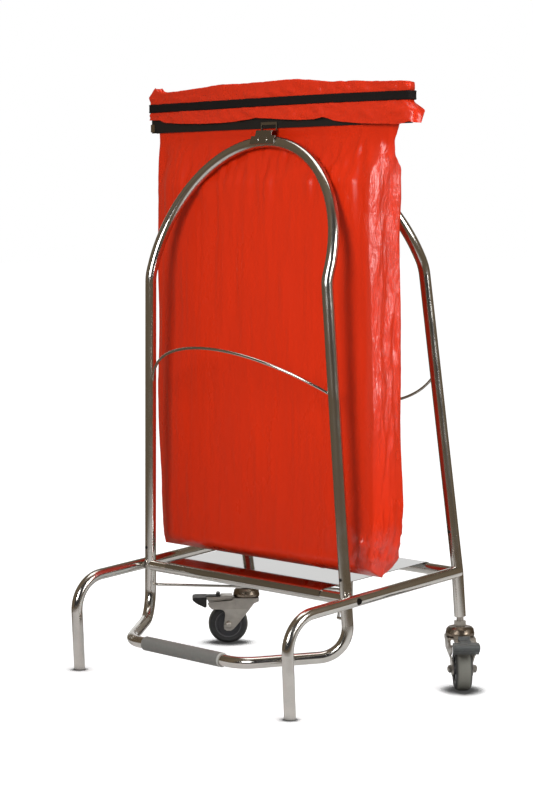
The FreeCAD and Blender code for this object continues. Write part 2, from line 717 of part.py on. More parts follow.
def hold_tray(profile):
    """Hold the curls of the tray's profile on the axes of the two cross tubes."""
    rise = "(Sizes.post_height - Sizes.rail_front_height) / (Sizes.post_back + Sizes.leg_forward)"
    front = f"Sizes.rail_front_height + {rise} * (Sizes.pivot_back + Sizes.leg_forward)"
    middles = {0: ("Sizes.pivot_back", front), 6: ("Sizes.pivot_back", front),
               2: ("Sizes.post_back", "Sizes.post_height - Sizes.rear_cross_drop"),
               4: ("Sizes.post_back", "Sizes.post_height - Sizes.rear_cross_drop")}
    inner = "Sizes.tube_od / 2 + Sizes.fit_gap"
    for arc, (back, height) in middles.items():
        outer = "" if arc > 2 else " + Sizes.tray_gauge"
        value = profile.Geometry[arc].Radius
        number = profile.addConstraint(Sketcher.Constraint("Radius", arc, value))
        bind(profile, f"Constraints[{number}]", inner + outer)
        where = profile.getPoint(arc, 3)
        number = profile.addConstraint(Sketcher.Constraint("DistanceY", -1, 1, arc, 3, where.y))
        bind(profile, f"Constraints[{number}]", height)


def tray():
    body = new_body("tray")
    profile = new_sketch(body, "YZ_Plane", "tray_profile")
    gauge = size("tray_gauge")
    inner = size("tube_od") / 2 + size("fit_gap")
    outer = inner + gauge
    front = FreeCAD.Vector(size("pivot_back") - size("origin_back"), pivot_height, 0)
    rear = FreeCAD.Vector(cross_middle.y, cross_height, 0)
    slope = (rear - front).normalize()
    normal = FreeCAD.Vector(-slope.y, slope.x, 0)
    start_dir = (slope * -1).normalize()
    spots = {
        "front_low": front + start_dir, "front_top": front + normal,
        "front_mid": front + (start_dir + normal).normalize(),
        "rear_low": rear + slope, "rear_top": rear + normal,
        "rear_mid": rear + (slope + normal).normalize(),
    }

    def at(name, reach):
        centre = front if name.startswith("front") else rear
        return centre + (spots[name] - centre) * reach

    shapes = [
        Part.Arc(at("front_low", outer), at("front_mid", outer), at("front_top", outer)),
        Part.LineSegment(at("front_top", outer), at("rear_top", outer)),
        Part.Arc(at("rear_top", outer), at("rear_mid", outer), at("rear_low", outer)),
        Part.LineSegment(at("rear_low", outer), at("rear_low", inner)),
        Part.Arc(at("rear_low", inner), at("rear_mid", inner), at("rear_top", inner)),
        Part.LineSegment(at("rear_top", inner), at("front_top", inner)),
        Part.Arc(at("front_top", inner), at("front_mid", inner), at("front_low", inner)),
        Part.LineSegment(at("front_low", inner), at("front_low", outer)),
    ]
    for shape in shapes:
        profile.addGeometry(shape)
    hold_tray(profile)
    pad = body.newObject("PartDesign::Pad", "tray_pad")
    pad.Profile = profile
    pad.Midplane = True
    bind(pad, "Length", "2 * Sizes.tray_half_width")
    return body


nodes.append(tray())


# Mouth: two flexible strips, each held at its middle by a bracket on its arch

def hold_strip(section, facing):
    """Hold the four corners and both arcs of a strip's section at the sheet's sizes."""
    half = "Sizes.jaw_half_length"
    near = "Sizes.jaw_end_gap - Sizes.jaw_gauge / 2"
    far = "Sizes.jaw_end_gap + Sizes.jaw_gauge / 2"
    bow = "(Sizes.jaw_middle_gap - Sizes.jaw_end_gap)"
    for line, side in ((1, ""), (3, "-")):
        for end in (1, 2):
            inside = (end == 1) == (line == 1)
            up = near if inside else far
            pin_point(section, line, end, f"{side}{half}", up if facing > 0 else f"-({up})")
    for arc in (0, 2):
        value = section.Geometry[arc].Radius
        number = section.addConstraint(Sketcher.Constraint("Radius", arc, value))
        bind(section, f"Constraints[{number}]", f"({half} ^ 2 + {bow} ^ 2) / (2 * {bow})")


def jaw(label, facing):
    """A strip on edge, bowed a little away from the mouth's middle plane."""
    body = new_body(label)
    section = new_sketch(body, "XY_Plane", label + "_section")
    half = size("jaw_half_length")
    bow = size("jaw_middle_gap") - size("jaw_end_gap")
    radius = (half ** 2 + bow ** 2) / (2 * bow)
    inner_y = size("jaw_end_gap") - size("jaw_gauge") / 2
    outer_y = inner_y + size("jaw_gauge")

    def spot(x, y):
        return FreeCAD.Vector(x, facing * y, 0)

    section.addGeometry(Part.Arc(spot(-half, inner_y), spot(0, inner_y + bow), spot(half, inner_y)))
    section.addGeometry(Part.LineSegment(spot(half, inner_y), spot(half, outer_y)))
    section.addGeometry(Part.Arc(spot(half, outer_y), spot(0, outer_y + bow), spot(-half, outer_y)))
    section.addGeometry(Part.LineSegment(spot(-half, outer_y), spot(-half, inner_y)))
    hold_strip(section, facing)
    pad = body.newObject("PartDesign::Pad", label + "_pad")
    pad.Profile = section
    bind(pad, "Length", "Sizes.jaw_width")
    bind(body, "Placement.Base.y", "Sizes.mouth_back - Sizes.origin_back")
    bind(body, "Placement.Base.z", "Sizes.jaw_foot_height")
    return body


nodes += [jaw("front_jaw", -1), jaw("rear_jaw", 1)]


def end_clips():
    """A folded sheet clip over both strips at each end of the mouth."""
    clips = []
    inner = size("jaw_end_gap") + size("jaw_gauge") / 2 + 2.2 * size("fit_gap")
    gauge = size("clip_gauge")
    depth = size("clip_reach")
    tip = size("jaw_half_length") + size("fit_gap")
    for side in (-1, 1):
        base = place(0, size("mouth_back"), size("jaw_foot_height") + 2)
        outer = Part.makeBox(depth + gauge, 2 * (inner + gauge), size("clip_height"),
                             base + FreeCAD.Vector(tip - depth, -inner - gauge, 0))
        hollow = Part.makeBox(depth, 2 * inner, size("clip_height"),
                              base + FreeCAD.Vector(tip - depth, -inner, 0))
        clip = outer.cut(hollow)
        if side < 0:
            clip = clip.mirror(FreeCAD.Vector(), RIGHT)
        clips.append(clip)
    return feature("end_clips", Part.makeCompound(clips))


nodes.append(end_clips())


def arch_bracket(label, apex, lean, facing):
    """Sheet bracket: a foot welded on the tube, a seat bent to the mouth, an upturned lip."""
    tilt = math.radians(lean)
    along = FreeCAD.Vector(0, math.sin(tilt), math.cos(tilt))
    out = FreeCAD.Vector(0, facing * math.cos(tilt), -facing * math.sin(tilt))
    gauge = size("bracket_gauge")
    seat = size("bracket_seat_height")
    strip_out = size("jaw_middle_gap") + size("jaw_gauge") / 2 + size("fit_gap")
    lip_near = size("mouth_back") - size("origin_back") + facing * strip_out
    lip_far = lip_near + facing * gauge
    face = apex + out * (size("tube_od") / 2)
    low = face - along * 8
    knee = face + along * ((seat - face.z) / along.z)
    knee_out = knee + out * gauge
    knee_out = knee_out + along * ((seat + gauge - knee_out.z) / along.z)
    lip_top = seat + size("bracket_lip_height")
    points = [low, knee, FreeCAD.Vector(0, lip_near, seat), FreeCAD.Vector(0, lip_near, lip_top),
              FreeCAD.Vector(0, lip_far, lip_top), FreeCAD.Vector(0, lip_far, seat + gauge),
              knee_out, low + out * gauge]
    face_wire = Part.makePolygon(points + [points[0]])
    half = size("bracket_foot_width") / 2
    plate = Part.Face(face_wire).extrude(RIGHT * (2 * half))
    plate.translate(RIGHT * -half)
    side_cut = half - size("bracket_width") / 2
    depth = 2 * size("bracket_foot_width")
    tall = size("jaw_width") + size("bracket_lip_height")
    for side in (-1, 1):
        near = side * half - (side_cut if side > 0 else 0)
        corner = FreeCAD.Vector(near, apex.y - depth / 2, apex.z + size("tube_od") / 2)
        plate = plate.cut(Part.makeBox(side_cut, depth, tall, corner))
    return feature(label, plate)


front_apex = (front_top[0] + front_top[1]) * 0.5
rear_apex = (rear_top[0] + rear_top[1]) * 0.5
nodes.append(arch_bracket("front_bracket", front_apex, size("front_arch_lean"), -1))
nodes.append(arch_bracket("rear_bracket", rear_apex, size("rear_arch_lean"), 1))


# Bag: film hung between the strips, folded out over them and held by an elastic strap

def lens_prism(half_length, middle, end, low, high):
    """A prism whose plan is a slim lens with blunt ends."""
    centre = size("mouth_back")

    def spot(x, y):
        return place(x, centre + y, low)

    edges = [Part.Arc(spot(-half_length, -end), spot(0, -middle), spot(half_length, -end)).toShape(),
             Part.LineSegment(spot(half_length, -end), spot(half_length, end)).toShape(),
             Part.Arc(spot(half_length, end), spot(0, middle), spot(-half_length, end)).toShape(),
             Part.LineSegment(spot(-half_length, end), spot(-half_length, -end)).toShape()]
    return Part.Face(Part.Wire(edges)).extrude(UP * (high - low))


def bag_section(half_width, half_depth, height):
    """A flat rounded section of the hanging pouch."""
    centre = size("mouth_back")
    corner = min(half_depth * 0.8, 20)

    def spot(x, y):
        return place(x, centre + y, height)

    w, d, c = half_width, half_depth, corner
    k = c * (1 - math.sqrt(0.5))
    edges = []
    turns = [((w - c, -d), (w - k, -d + k), (w, -d + c)), ((w, d - c), (w - k, d - k), (w - c, d)),
             ((-w + c, d), (-w + k, d - k), (-w, d - c)), ((-w, -d + c), (-w + k, -d + k), (-w + c, -d))]
    for i, (a, b, e) in enumerate(turns):
        following = turns[(i + 1) % 4][0]
        edges.append(Part.Arc(spot(*a), spot(*b), spot(*e)).toShape())
        edges.append(Part.LineSegment(spot(*e), spot(*following)).toShape())
    return Part.Wire(edges)


def bag():
    wall = size("film_wall")
    foot = size("bag_foot_height")
    mouth_low = size("jaw_foot_height") - 4
    rim = size("jaw_foot_height") + size("jaw_width") + size("fit_gap")
    inner_middle = size("jaw_middle_gap") - size("jaw_gauge") / 2 - size("fit_gap")
    inner_end = size("jaw_end_gap") - size("jaw_gauge") / 2 - size("fit_gap")
    outer_middle = size("jaw_middle_gap") + size("jaw_gauge") / 2 + size("fit_gap")
    outer_end = size("jaw_end_gap") + size("jaw_gauge") / 2 + size("fit_gap")
    half = size("jaw_half_length")
    neck_half = size("neck_half_width")
    levels = [(size("bag_half_width") - 4, size("bag_depth") / 2 - 4, foot),
              (size("bag_half_width"), size("bag_depth") / 2, foot + 60),
              (size("bag_half_width"), size("bag_depth") / 2, size("bag_shoulder_height")),
              (neck_half, inner_end, size("neck_foot_height")),
              (neck_half, inner_end, mouth_low)]
    outer = Part.makeLoft([bag_section(w, d, z) for w, d, z in levels], True, True)
    inner_levels = [(w - wall, d - wall, z) for w, d, z in levels]
    inner_levels[0] = (levels[0][0] - wall, levels[0][1] - wall, foot + wall)
    inner = Part.makeLoft([bag_section(w, d, z) for w, d, z in inner_levels], True, True)
    neck = lens_prism(neck_half, inner_middle, inner_end, mouth_low, rim + wall)
    neck_hole = lens_prism(neck_half - wall, inner_middle - wall, inner_end - wall, mouth_low, rim + wall)
    hem = size("collar_foot_height")
    clear = half + size("fit_gap")
    rim_top = lens_prism(clear + wall, outer_middle + wall, outer_end + wall, rim, rim + wall)
    skirt = lens_prism(clear + wall, outer_middle + wall, outer_end + wall, hem, rim)
    skirt_hole = lens_prism(clear, outer_middle, outer_end, hem, rim)
    shell = outer.fuse([neck, rim_top, skirt.cut(skirt_hole)])
    return feature("bag", shell.cut(inner).cut(neck_hole))


def strap():
    """The elastic band round the folded film."""
    clear = size("jaw_gauge") / 2 + 2 * size("fit_gap") + size("film_wall")
    half = size("jaw_half_length") + 2 * size("fit_gap") + size("film_wall")
    gauge = size("strap_gauge")
    low = size("strap_foot_height")
    high = low + size("strap_width")
    middle = size("jaw_middle_gap") + clear
    end = size("jaw_end_gap") + clear
    outer = lens_prism(half + gauge, middle + gauge, end + gauge, low, high)
    return feature("elastic_strap", outer.cut(lens_prism(half, middle, end, low, high)))


nodes += [bag(), strap()]


# Castors: a threaded stem and swivel head on each rear post, a trailing fork with a braked wheel

def castor_place(name):
    side = -1 if name == "left" else 1
    foot = rear_axis(size("post_foot_height"), side)
    turn = size(f"castor_{name}_turn")
    return FreeCAD.Placement(FreeCAD.Vector(foot.x, foot.y, 0), FreeCAD.Rotation(UP, turn))


def post_plug(name):
    side = -1 if name == "left" else 1
    low = rear_axis(size("post_foot_height"), side)
    high = rear_axis(size("post_height"), side)
    plug = end_plug(low, high - low)
    reach = 2 * size("plug_depth")
    stem = Part.makeCylinder(size("stem_dia") / 2 + size("run_gap"), 2 * reach,
                             FreeCAD.Vector(low.x, low.y, size("post_foot_height") - reach), UP)
    return plug.cut(stem)


nodes.append(feature("post_plugs", Part.makeCompound([post_plug("left"), post_plug("right")])))


def castor_stem(name):
    body = new_body("castor_stem_" + name)
    section = new_sketch(body, "XY_Plane", "stem_section_" + name)
    ring(section, ["Sizes.stem_dia"])
    pad = body.newObject("PartDesign::Pad", "stem_pad_" + name)
    pad.Profile = section
    foot = "Sizes.head_foot_height + Sizes.head_height - Sizes.head_dish + Sizes.fit_gap / 3"
    bind(pad, "Length", f"Sizes.post_foot_height + Sizes.plug_depth * 0.6 - ({foot})")
    body.Placement = castor_place(name)
    bind(body, "Placement.Base.z", foot)
    return body


def lock_nuts():
    nuts = []
    for name in ("left", "right"):
        placement = castor_place(name)
        corners = []
        radius = size("nut_width") / math.sqrt(3)
        base = size("head_foot_height") + size("head_height") + size("fit_gap")
        for i in range(7):
            angle = math.radians(60 * i)
            corners.append(FreeCAD.Vector(radius * math.cos(angle), radius * math.sin(angle), base))
        prism = Part.Face(Part.makePolygon(corners)).extrude(UP * size("nut_height"))
        prism = prism.cut(Part.makeCylinder(size("stem_dia") / 2 + size("run_gap"), 60,
                                            FreeCAD.Vector(0, 0, base - 10)))
        prism.Placement = placement
        nuts.append(prism)
    return feature("lock_nuts", Part.makeCompound(nuts))


def castor_head(name):
    """Pressed swivel head: a raceway disc with a raised rim round a dished top."""
    body = new_body("castor_head_" + name)
    section = new_sketch(body, "XZ_Plane", "head_section_" + name)
    half = "Sizes.head_dia / 2"
    tall = "Sizes.head_height"
    dish = f"{tall} - Sizes.head_dish"
    outline(section, [("0", "0"), (f"{half} - 2", "0"), (half, "1.5"), (half, "6"), (f"{half} - 0.8", "9"),
                      (f"{half} - 1.5", f"{tall} * 0.75"), (f"{half} - 5", f"{tall} * 0.95"),
                      (f"{half} - 9", tall), (f"{half} - 13", dish), ("0", dish)])
    turn = body.newObject("PartDesign::Revolution", "head_turn_" + name)
    turn.Profile = section
    turn.ReferenceAxis = (section, ["V_Axis"])
    turn.Angle = 360
    body.Placement = castor_place(name)
    bind(body, "Placement.Base.z", "Sizes.head_foot_height")
    return body


FORK_TOP = "Sizes.head_foot_height - Sizes.fit_gap"
TRAIL = "Sizes.castor_trail"
AXLE = "Sizes.wheel_dia / 2"
PIN_OUT = f"{TRAIL} + Sizes.brake_pin_out"
PIN_UP = f"{AXLE} + Sizes.brake_pin_rise"


def fork(name):
    """Pressed fork: a round crown, and two cheeks that taper to the axle and carry the brake."""
    body = new_body("castor_fork_" + name)
    crown_out = "Sizes.head_dia / 2 - 2"
    side_view = new_sketch(body, "XZ_Plane", "fork_outline_" + name)
    outline(side_view, [
        (f"-({crown_out})", FORK_TOP), (f"-({crown_out})", f"{FORK_TOP} - 6"),
        (f"{TRAIL} - 48.7", f"{AXLE} + 41.2"), (f"{TRAIL} - 33.5", f"{AXLE} + 20.5"),
        (f"{TRAIL} - 22.1", f"{AXLE} + 5.2"), (f"{TRAIL} - 10.7", f"{AXLE} - 8.1"),
        (f"{TRAIL} - 5", f"{AXLE} - 12"), (f"{TRAIL} + 3", f"{AXLE} - 12"),
        (f"{TRAIL} + 8", f"{AXLE} - 8.5"), (f"{TRAIL} + 8.3", f"{AXLE} - 1.5"),
        (f"{TRAIL} + 6.2", f"{AXLE} + 16.5"), (f"{TRAIL} + 6.5", f"{AXLE} + 23.5"),
        (f"{TRAIL} + 9.5", f"{AXLE} + 28"),
        (f"{PIN_OUT} + 2", f"{PIN_UP} - 11.5"), (f"{PIN_OUT} + 18", f"{PIN_UP} - 11.2"),
        (f"{PIN_OUT} + 23.7", f"{PIN_UP} - 6"), (f"{PIN_OUT} + 26.6", f"{PIN_UP} + 1"),
        (f"{crown_out} + 5", f"{FORK_TOP} - 4.2"), (f"{crown_out} + 1", FORK_TOP)])
    pad = body.newObject("PartDesign::Pad", "fork_pad_" + name)
    pad.Profile = side_view
    pad.Midplane = True
    outer = "Sizes.fork_gap / 2 + Sizes.fork_gauge"
    wide = f"{outer} + Sizes.fork_flare"
    bind(pad, "Length", f"2 * ({wide})")
    hollow = new_sketch(body, "YZ_Plane", "fork_hollow_" + name)
    inner = "Sizes.fork_gap / 2"
    inner_wide = f"{inner} + Sizes.fork_flare"
    roof = f"{FORK_TOP} - Sizes.fork_gauge"
    bend_high = f"{AXLE} + 31"
    bend_low = f"{AXLE} + 12"
    outline(hollow, [(f"-({inner})", "0"), (inner, "0"), (inner, bend_low), (inner_wide, bend_high),
                     (inner_wide, f"{roof} - 4"), (f"{inner_wide} - 4", roof),
                     (f"-({inner_wide}) + 4", roof), (f"-({inner_wide})", f"{roof} - 4"),
                     (f"-({inner_wide})", bend_high), (f"-({inner})", bend_low)])
    pocket = body.newObject("PartDesign::Pocket", "fork_pocket_" + name)
    pocket.Profile = hollow
    pocket.Type = "ThroughAll"
    pocket.Midplane = True
    for sign, word in (("", "right"), ("-", "left")):
        trim = new_sketch(body, "YZ_Plane", f"fork_trim_{word}_{name}")
        far = f"{wide} + 10"
        outline(trim, [(f"{sign}({outer})", "0"), (f"{sign}({far})", "0"), (f"{sign}({far})", bend_high),
                       (f"{sign}({wide})", bend_high), (f"{sign}({outer})", bend_low)])
        waste = body.newObject("PartDesign::Pocket", f"fork_side_{word}_{name}")
        waste.Profile = trim
        waste.Type = "ThroughAll"
        waste.Midplane = True
    for label, dia, across, up in (("axle", "Sizes.axle_dia", TRAIL, AXLE),
                                   ("brake", "Sizes.brake_pin_dia", PIN_OUT, PIN_UP)):
        drill(body, f"fork_{label}_{name}", f"{dia} / 2 + Sizes.fit_gap / 3", across, up)
    body.Placement = castor_place(name)
    return body


def drill(body, name, radius_text, across, up):
    """A round hole right through a body along its local Y."""
    bore = new_sketch(body, "XZ_Plane", "hole_" + name)
    centre = FreeCAD.Vector(value_of(across), value_of(up), 0)
    number = bore.addGeometry(Part.Circle(centre, UP, value_of(radius_text)))
    radius = bore.addConstraint(Sketcher.Constraint("Radius", number, value_of(radius_text)))
    bind(bore, f"Constraints[{radius}]", radius_text)
    pin_point(bore, number, 3, across, up)
    pocket = body.newObject("PartDesign::Pocket", "drill_" + name)
    pocket.Profile = bore
    pocket.Type = "ThroughAll"
    pocket.Midplane = True


def wheel_place(name):
    """Local frame of a wheel: its axle along local Y, at the trail's end."""
    hub_spot = FreeCAD.Vector(size("castor_trail"), 0, size("wheel_dia") / 2)
    return castor_place(name).multiply(FreeCAD.Placement(hub_spot, FreeCAD.Rotation()))


def turned(label, points, placement):
    """A body turned about its local Y axis; points are (radius, offset along the axle)."""
    body = new_body(label)
    section = new_sketch(body, "XY_Plane", label + "_section")
    outline(section, points)
    turn = body.newObject("PartDesign::Revolution", label + "_turn")
    turn.Profile = section
    turn.ReferenceAxis = (section, ["V_Axis"])
    turn.Angle = 360
    body.Placement = placement
    return body


def tyre(name):
    inner = "Sizes.hub_dia / 2 + Sizes.fit_gap / 3"
    outer = "Sizes.wheel_dia / 2"
    half = "Sizes.wheel_width / 2"
    return turned("castor_tyre_" + name, [
        (inner, f"-({half}) + 1"), (f"{outer} - 6", f"-({half})"), (f"{outer} - 2.5", f"-({half}) + 2"),
        (f"{outer} - 0.6", f"-({half}) + 5"), (outer, f"-({half}) + 9"), (outer, f"{half} - 9"),
        (f"{outer} - 0.6", f"{half} - 5"), (f"{outer} - 2.5", f"{half} - 2"),
        (f"{outer} - 6", half), (inner, f"{half} - 1")], wheel_place(name))


def hub(name):
    """Moulded wheel core: a rim, a thinner web on both sides and a boss round the axle."""
    bore = "Sizes.axle_dia / 2 + Sizes.run_gap"
    boss = "Sizes.axle_dia / 2 + 5"
    rim = "Sizes.hub_dia / 2"
    half = "Sizes.wheel_width / 2"
    side = []
    for sign in ("-", ""):
        face = f"{sign}({half} + 1)"
        web = f"{sign}({half} - 3)"
        edge = f"{sign}({half} - 1)"
        step = [(bore, face), (boss, face), (f"{boss} + 1", web), (f"{rim} - 4", web),
                (f"{rim} - 3", edge), (rim, edge)]
        side += step if sign else step[::-1]
    return turned("castor_hub_" + name, side, wheel_place(name))


def axle(name):
    """Axle bolt with a domed hexagon at each end, fixed in the fork."""
    outside = size("fork_gap") / 2 + size("fork_gauge") + size("fit_gap") / 3
    reach = 8.0
    across = 1.8 * size("axle_dia")
    along = FreeCAD.Vector(0, 1, 0)
    bolt = Part.makeCylinder(size("axle_dia") / 2, 2 * outside + 2, FreeCAD.Vector(0, -outside - 1, 0), along)
    for sign in (-1, 1):
        corners = [FreeCAD.Vector(across / 2 * math.cos(math.radians(60 * i)), sign * outside,
                                  across / 2 * math.sin(math.radians(60 * i))) for i in range(7)]
        block = Part.Face(Part.makePolygon(corners)).extrude(along * (sign * reach))
        dome = Part.makeSphere(0.62 * across, FreeCAD.Vector(0, sign * (outside + reach - 0.62 * across), 0))
        bolt = bolt.fuse(block.common(dome))
    return feature("castor_axle_" + name, bolt.removeSplitter(), wheel_place(name))


def brake_place(name):
    """Local frame of the brake lever: its pin across the fork, above the tyre."""
    spot = FreeCAD.Vector(value_of(PIN_OUT), 0, value_of(PIN_UP))
    return castor_place(name).multiply(FreeCAD.Placement(spot, FreeCAD.Rotation()))


def side_pad(body, name, points, width):
    """A pad across the castor of an outline in the lever's side view."""
    section = new_sketch(body, "XZ_Plane", name + "_outline")
    outline(section, points)
    pad = body.newObject("PartDesign::Pad", name + "_pad")
    pad.Profile = section
    pad.Midplane = True
    bind(pad, "Length", width)


def brake_lever(name):
    body = new_body("brake_lever_" + name)
    side_pad(body, "lever_" + name, [
        ("-21", "5"), ("-8", "5"), ("-6", "-3.5"), ("6", "-3.5"), ("12", "5"), ("28", "5.5"), ("28", "11"),
        ("2", "11"), ("0", "13.5"), ("-21", "13.5")], "Sizes.brake_lever_width")
    drill(body, "lever_" + name, "Sizes.brake_pin_dia / 2 + Sizes.run_gap", "0", "0")
    body.Placement = brake_place(name)
    return body


def brake_tip(name):
    """Moulded black toe piece on the end of the brake lever, with its release knob."""
    body = new_body("brake_tip_" + name)
    side_pad(body, "toe_" + name, [
        ("28.3", "-6"), ("31", "-8.5"), ("46.5", "-1.2"), ("53.5", "4"), ("55.4", "7.5"),
        ("54", "10"), ("50", "11.2"), ("31", "11.5"), ("28.3", "11.3")], "Sizes.brake_tip_width")
    side_pad(body, "knob_" + name, [
        ("2.5", "11.3"), ("28.3", "11.3"), ("30", "9"), ("31", "9"), ("31", "11.5"), ("28.5", "12.8"),
        ("10.5", "12.8"), ("9", "18"), ("4", "18"), ("2.5", "17")], "Sizes.brake_knob_width")
    body.Placement = brake_place(name)
    return body


def brake_pin(name):
    half = value_of("Sizes.fork_gap / 2 + Sizes.fork_flare + Sizes.fork_gauge")
    along = FreeCAD.Vector(0, 1, 0)
    reach = half + size("fit_gap") / 3
    pin = Part.makeCylinder(size("brake_pin_dia") / 2, 2 * reach, FreeCAD.Vector(0, -reach, 0), along)
    for sign in (-1, 1):
        end = FreeCAD.Vector(0, sign * reach, 0)
        head = Part.makeCylinder(size("brake_pin_dia") * 0.9, 1.2, end, along * sign)
        pin = pin.fuse(head)
    return feature("brake_pin_" + name, pin.removeSplitter(), brake_place(name))


for name in ("left", "right"):
    nodes += [castor_stem(name), castor_head(name), fork(name), tyre(name), hub(name), axle(name),
              brake_lever(name), brake_tip(name), brake_pin(name)]
nodes.append(lock_nuts())


# Check and write

def check(piece):
    assert not [word for word in piece.State if word in ("Invalid", "Error")], piece.Label
    assert not piece.Shape.isNull() and piece.Shape.isValid() and piece.Shape.Solids, piece.Label


doc.recompute()
for item in doc.Objects:
    assert "Invalid" not in item.State and "Error" not in item.State, item.Label
os.makedirs("parts", exist_ok=True)
box = FreeCAD.BoundBox()
for piece in nodes:
    check(piece)
    piece.Shape.exportStep(f"parts/{piece.Label}.step")
    box.add(piece.Shape.BoundBox)
    print(f"{piece.Label:22s} solids {len(piece.Shape.Solids)} volume {piece.Shape.Volume / 1000:9.2f} cm3")
print(f"{len(nodes)} nodes, box {box.XMin:.1f} {box.XMax:.1f} | {box.YMin:.1f} {box.YMax:.1f} | "
      f"{box.ZMin:.1f} {box.ZMax:.1f}")
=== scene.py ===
"""A stand for one bin bag: chrome tube hoops on rails and castors, with a film bag between two strips."""
import math

import bmesh
import bpy
import numpy as np
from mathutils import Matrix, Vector


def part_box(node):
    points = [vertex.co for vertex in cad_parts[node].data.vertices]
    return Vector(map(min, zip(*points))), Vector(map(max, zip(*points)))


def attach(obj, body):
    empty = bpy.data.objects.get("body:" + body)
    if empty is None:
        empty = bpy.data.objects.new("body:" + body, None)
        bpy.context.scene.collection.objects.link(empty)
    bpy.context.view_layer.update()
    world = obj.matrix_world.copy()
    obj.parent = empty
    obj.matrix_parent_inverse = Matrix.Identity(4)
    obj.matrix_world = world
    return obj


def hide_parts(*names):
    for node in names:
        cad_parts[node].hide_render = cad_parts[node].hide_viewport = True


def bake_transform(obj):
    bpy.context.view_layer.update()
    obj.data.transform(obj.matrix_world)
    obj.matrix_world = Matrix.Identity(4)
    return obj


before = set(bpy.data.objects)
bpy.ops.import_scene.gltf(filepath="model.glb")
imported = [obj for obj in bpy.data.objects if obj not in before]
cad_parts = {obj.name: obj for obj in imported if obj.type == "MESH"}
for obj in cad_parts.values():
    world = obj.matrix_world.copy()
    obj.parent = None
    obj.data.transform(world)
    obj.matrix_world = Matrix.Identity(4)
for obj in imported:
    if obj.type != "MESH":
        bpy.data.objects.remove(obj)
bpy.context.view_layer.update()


# The studio: a plain white floor and backdrop, one soft lamp in front and two larger ones. In reflections the
# white paper ends a short way round the stand, and the room beyond it is dim and brown. That gives the plating
# its dark streaks.

CAMERA_SPOT = Vector((2.9866, -2.6948, 0.8120))
CAMERA_TURN = 0.8380
CAMERA_DIP = 0.0793
WHITE = (1.0, 1.0, 1.0)
ROOM_BROWN = (0.15, 0.115, 0.078)
# the room in a reflection, from straight behind the camera to straight ahead of it
ROOM_STOPS = [(0.0, (0.035, 0.036, 0.040)), (0.22, (0.05, 0.045, 0.040)), (0.34, (0.20, 0.155, 0.105)),
              (0.70, ROOM_BROWN), (0.945, (0.20, 0.165, 0.125)), (0.980, WHITE)]
ROOM_GLOW = 0.29
PAPER_SHADE = 0.62
PAPER_IN_MIRRORS = 0.30
PAPER_ENDS = (0.60, 1.40)
CONTACT_REACH = 0.045


def feed(tree, socket, value):
    """Gives a node's input a plain value, or the output of another node."""
    if isinstance(value, bpy.types.NodeSocket):
        tree.links.new(value, socket)
    else:
        socket.default_value = value


def math_node(tree, operation, *values):
    node = tree.nodes.new("ShaderNodeMath")
    node.operation = operation
    for socket, value in zip(node.inputs, values):
        feed(tree, socket, value)
    return node.outputs["Value"]


def vector_node(tree, operation, *values, out="Vector"):
    node = tree.nodes.new("ShaderNodeVectorMath")
    node.operation = operation
    for socket, value in zip(node.inputs, values):
        feed(tree, socket, value)
    return node.outputs[out]


def range_node(tree, value, low, high, to_low=0.0, to_high=1.0, kind="LINEAR"):
    """Carries a value from one range over to another, and holds it at the ends."""
    node = tree.nodes.new("ShaderNodeMapRange")
    node.interpolation_type = kind
    for name, number in (("From Min", low), ("From Max", high), ("To Min", to_low), ("To Max", to_high)):
        node.inputs[name].default_value = number
    tree.links.new(value, node.inputs["Value"])
    return node.outputs["Result"]


def mix_node(tree, share, first, second):
    """Two colours, each a plain one or a node's, mixed by a share."""
    node = tree.nodes.new("ShaderNodeMix")
    node.data_type = "RGBA"
    for name, value in (("Factor", share), ("A", first), ("B", second)):
        feed(tree, node.inputs[name], value)
    return node.outputs["Result"]


def place_in_object(tree):
    return tree.nodes.new("ShaderNodeTexCoord").outputs["Object"]


def how_far_ahead(tree, place):
    """How far a place or a direction lies ahead of the camera, level with the floor."""
    ahead = (-math.sin(CAMERA_TURN), math.cos(CAMERA_TURN), 0.0)
    return vector_node(tree, "DOT_PRODUCT", place, ahead, out="Value")


def shown(name, mesh):
    """The mesh as an object of the scene."""
    piece = bpy.data.objects.new(name, mesh)
    bpy.context.scene.collection.objects.link(piece)
    return piece


def photo_camera():
    lens = bpy.data.cameras.new("photo_camera")
    lens.sensor_fit = "VERTICAL"
    lens.sensor_height = 36.0
    lens.lens = 103.5
    lens.clip_end = 100.0
    camera = shown("photo_camera", lens)
    camera.location = CAMERA_SPOT
    camera.rotation_euler = (math.pi / 2 - CAMERA_DIP, 0.0, CAMERA_TURN)
    bpy.context.scene.camera = camera


def soft_lamp(name, spot, aim, width, height, power, spread=math.pi):
    light = bpy.data.lights.new(name, "AREA")
    light.shape = "RECTANGLE"
    light.size, light.size_y = width, height
    light.energy = power
    light.spread = spread
    lamp = shown(name, light)
    lamp.location = spot
    lamp.rotation_euler = (Vector(aim) - Vector(spot)).to_track_quat("-Z", "Y").to_euler()


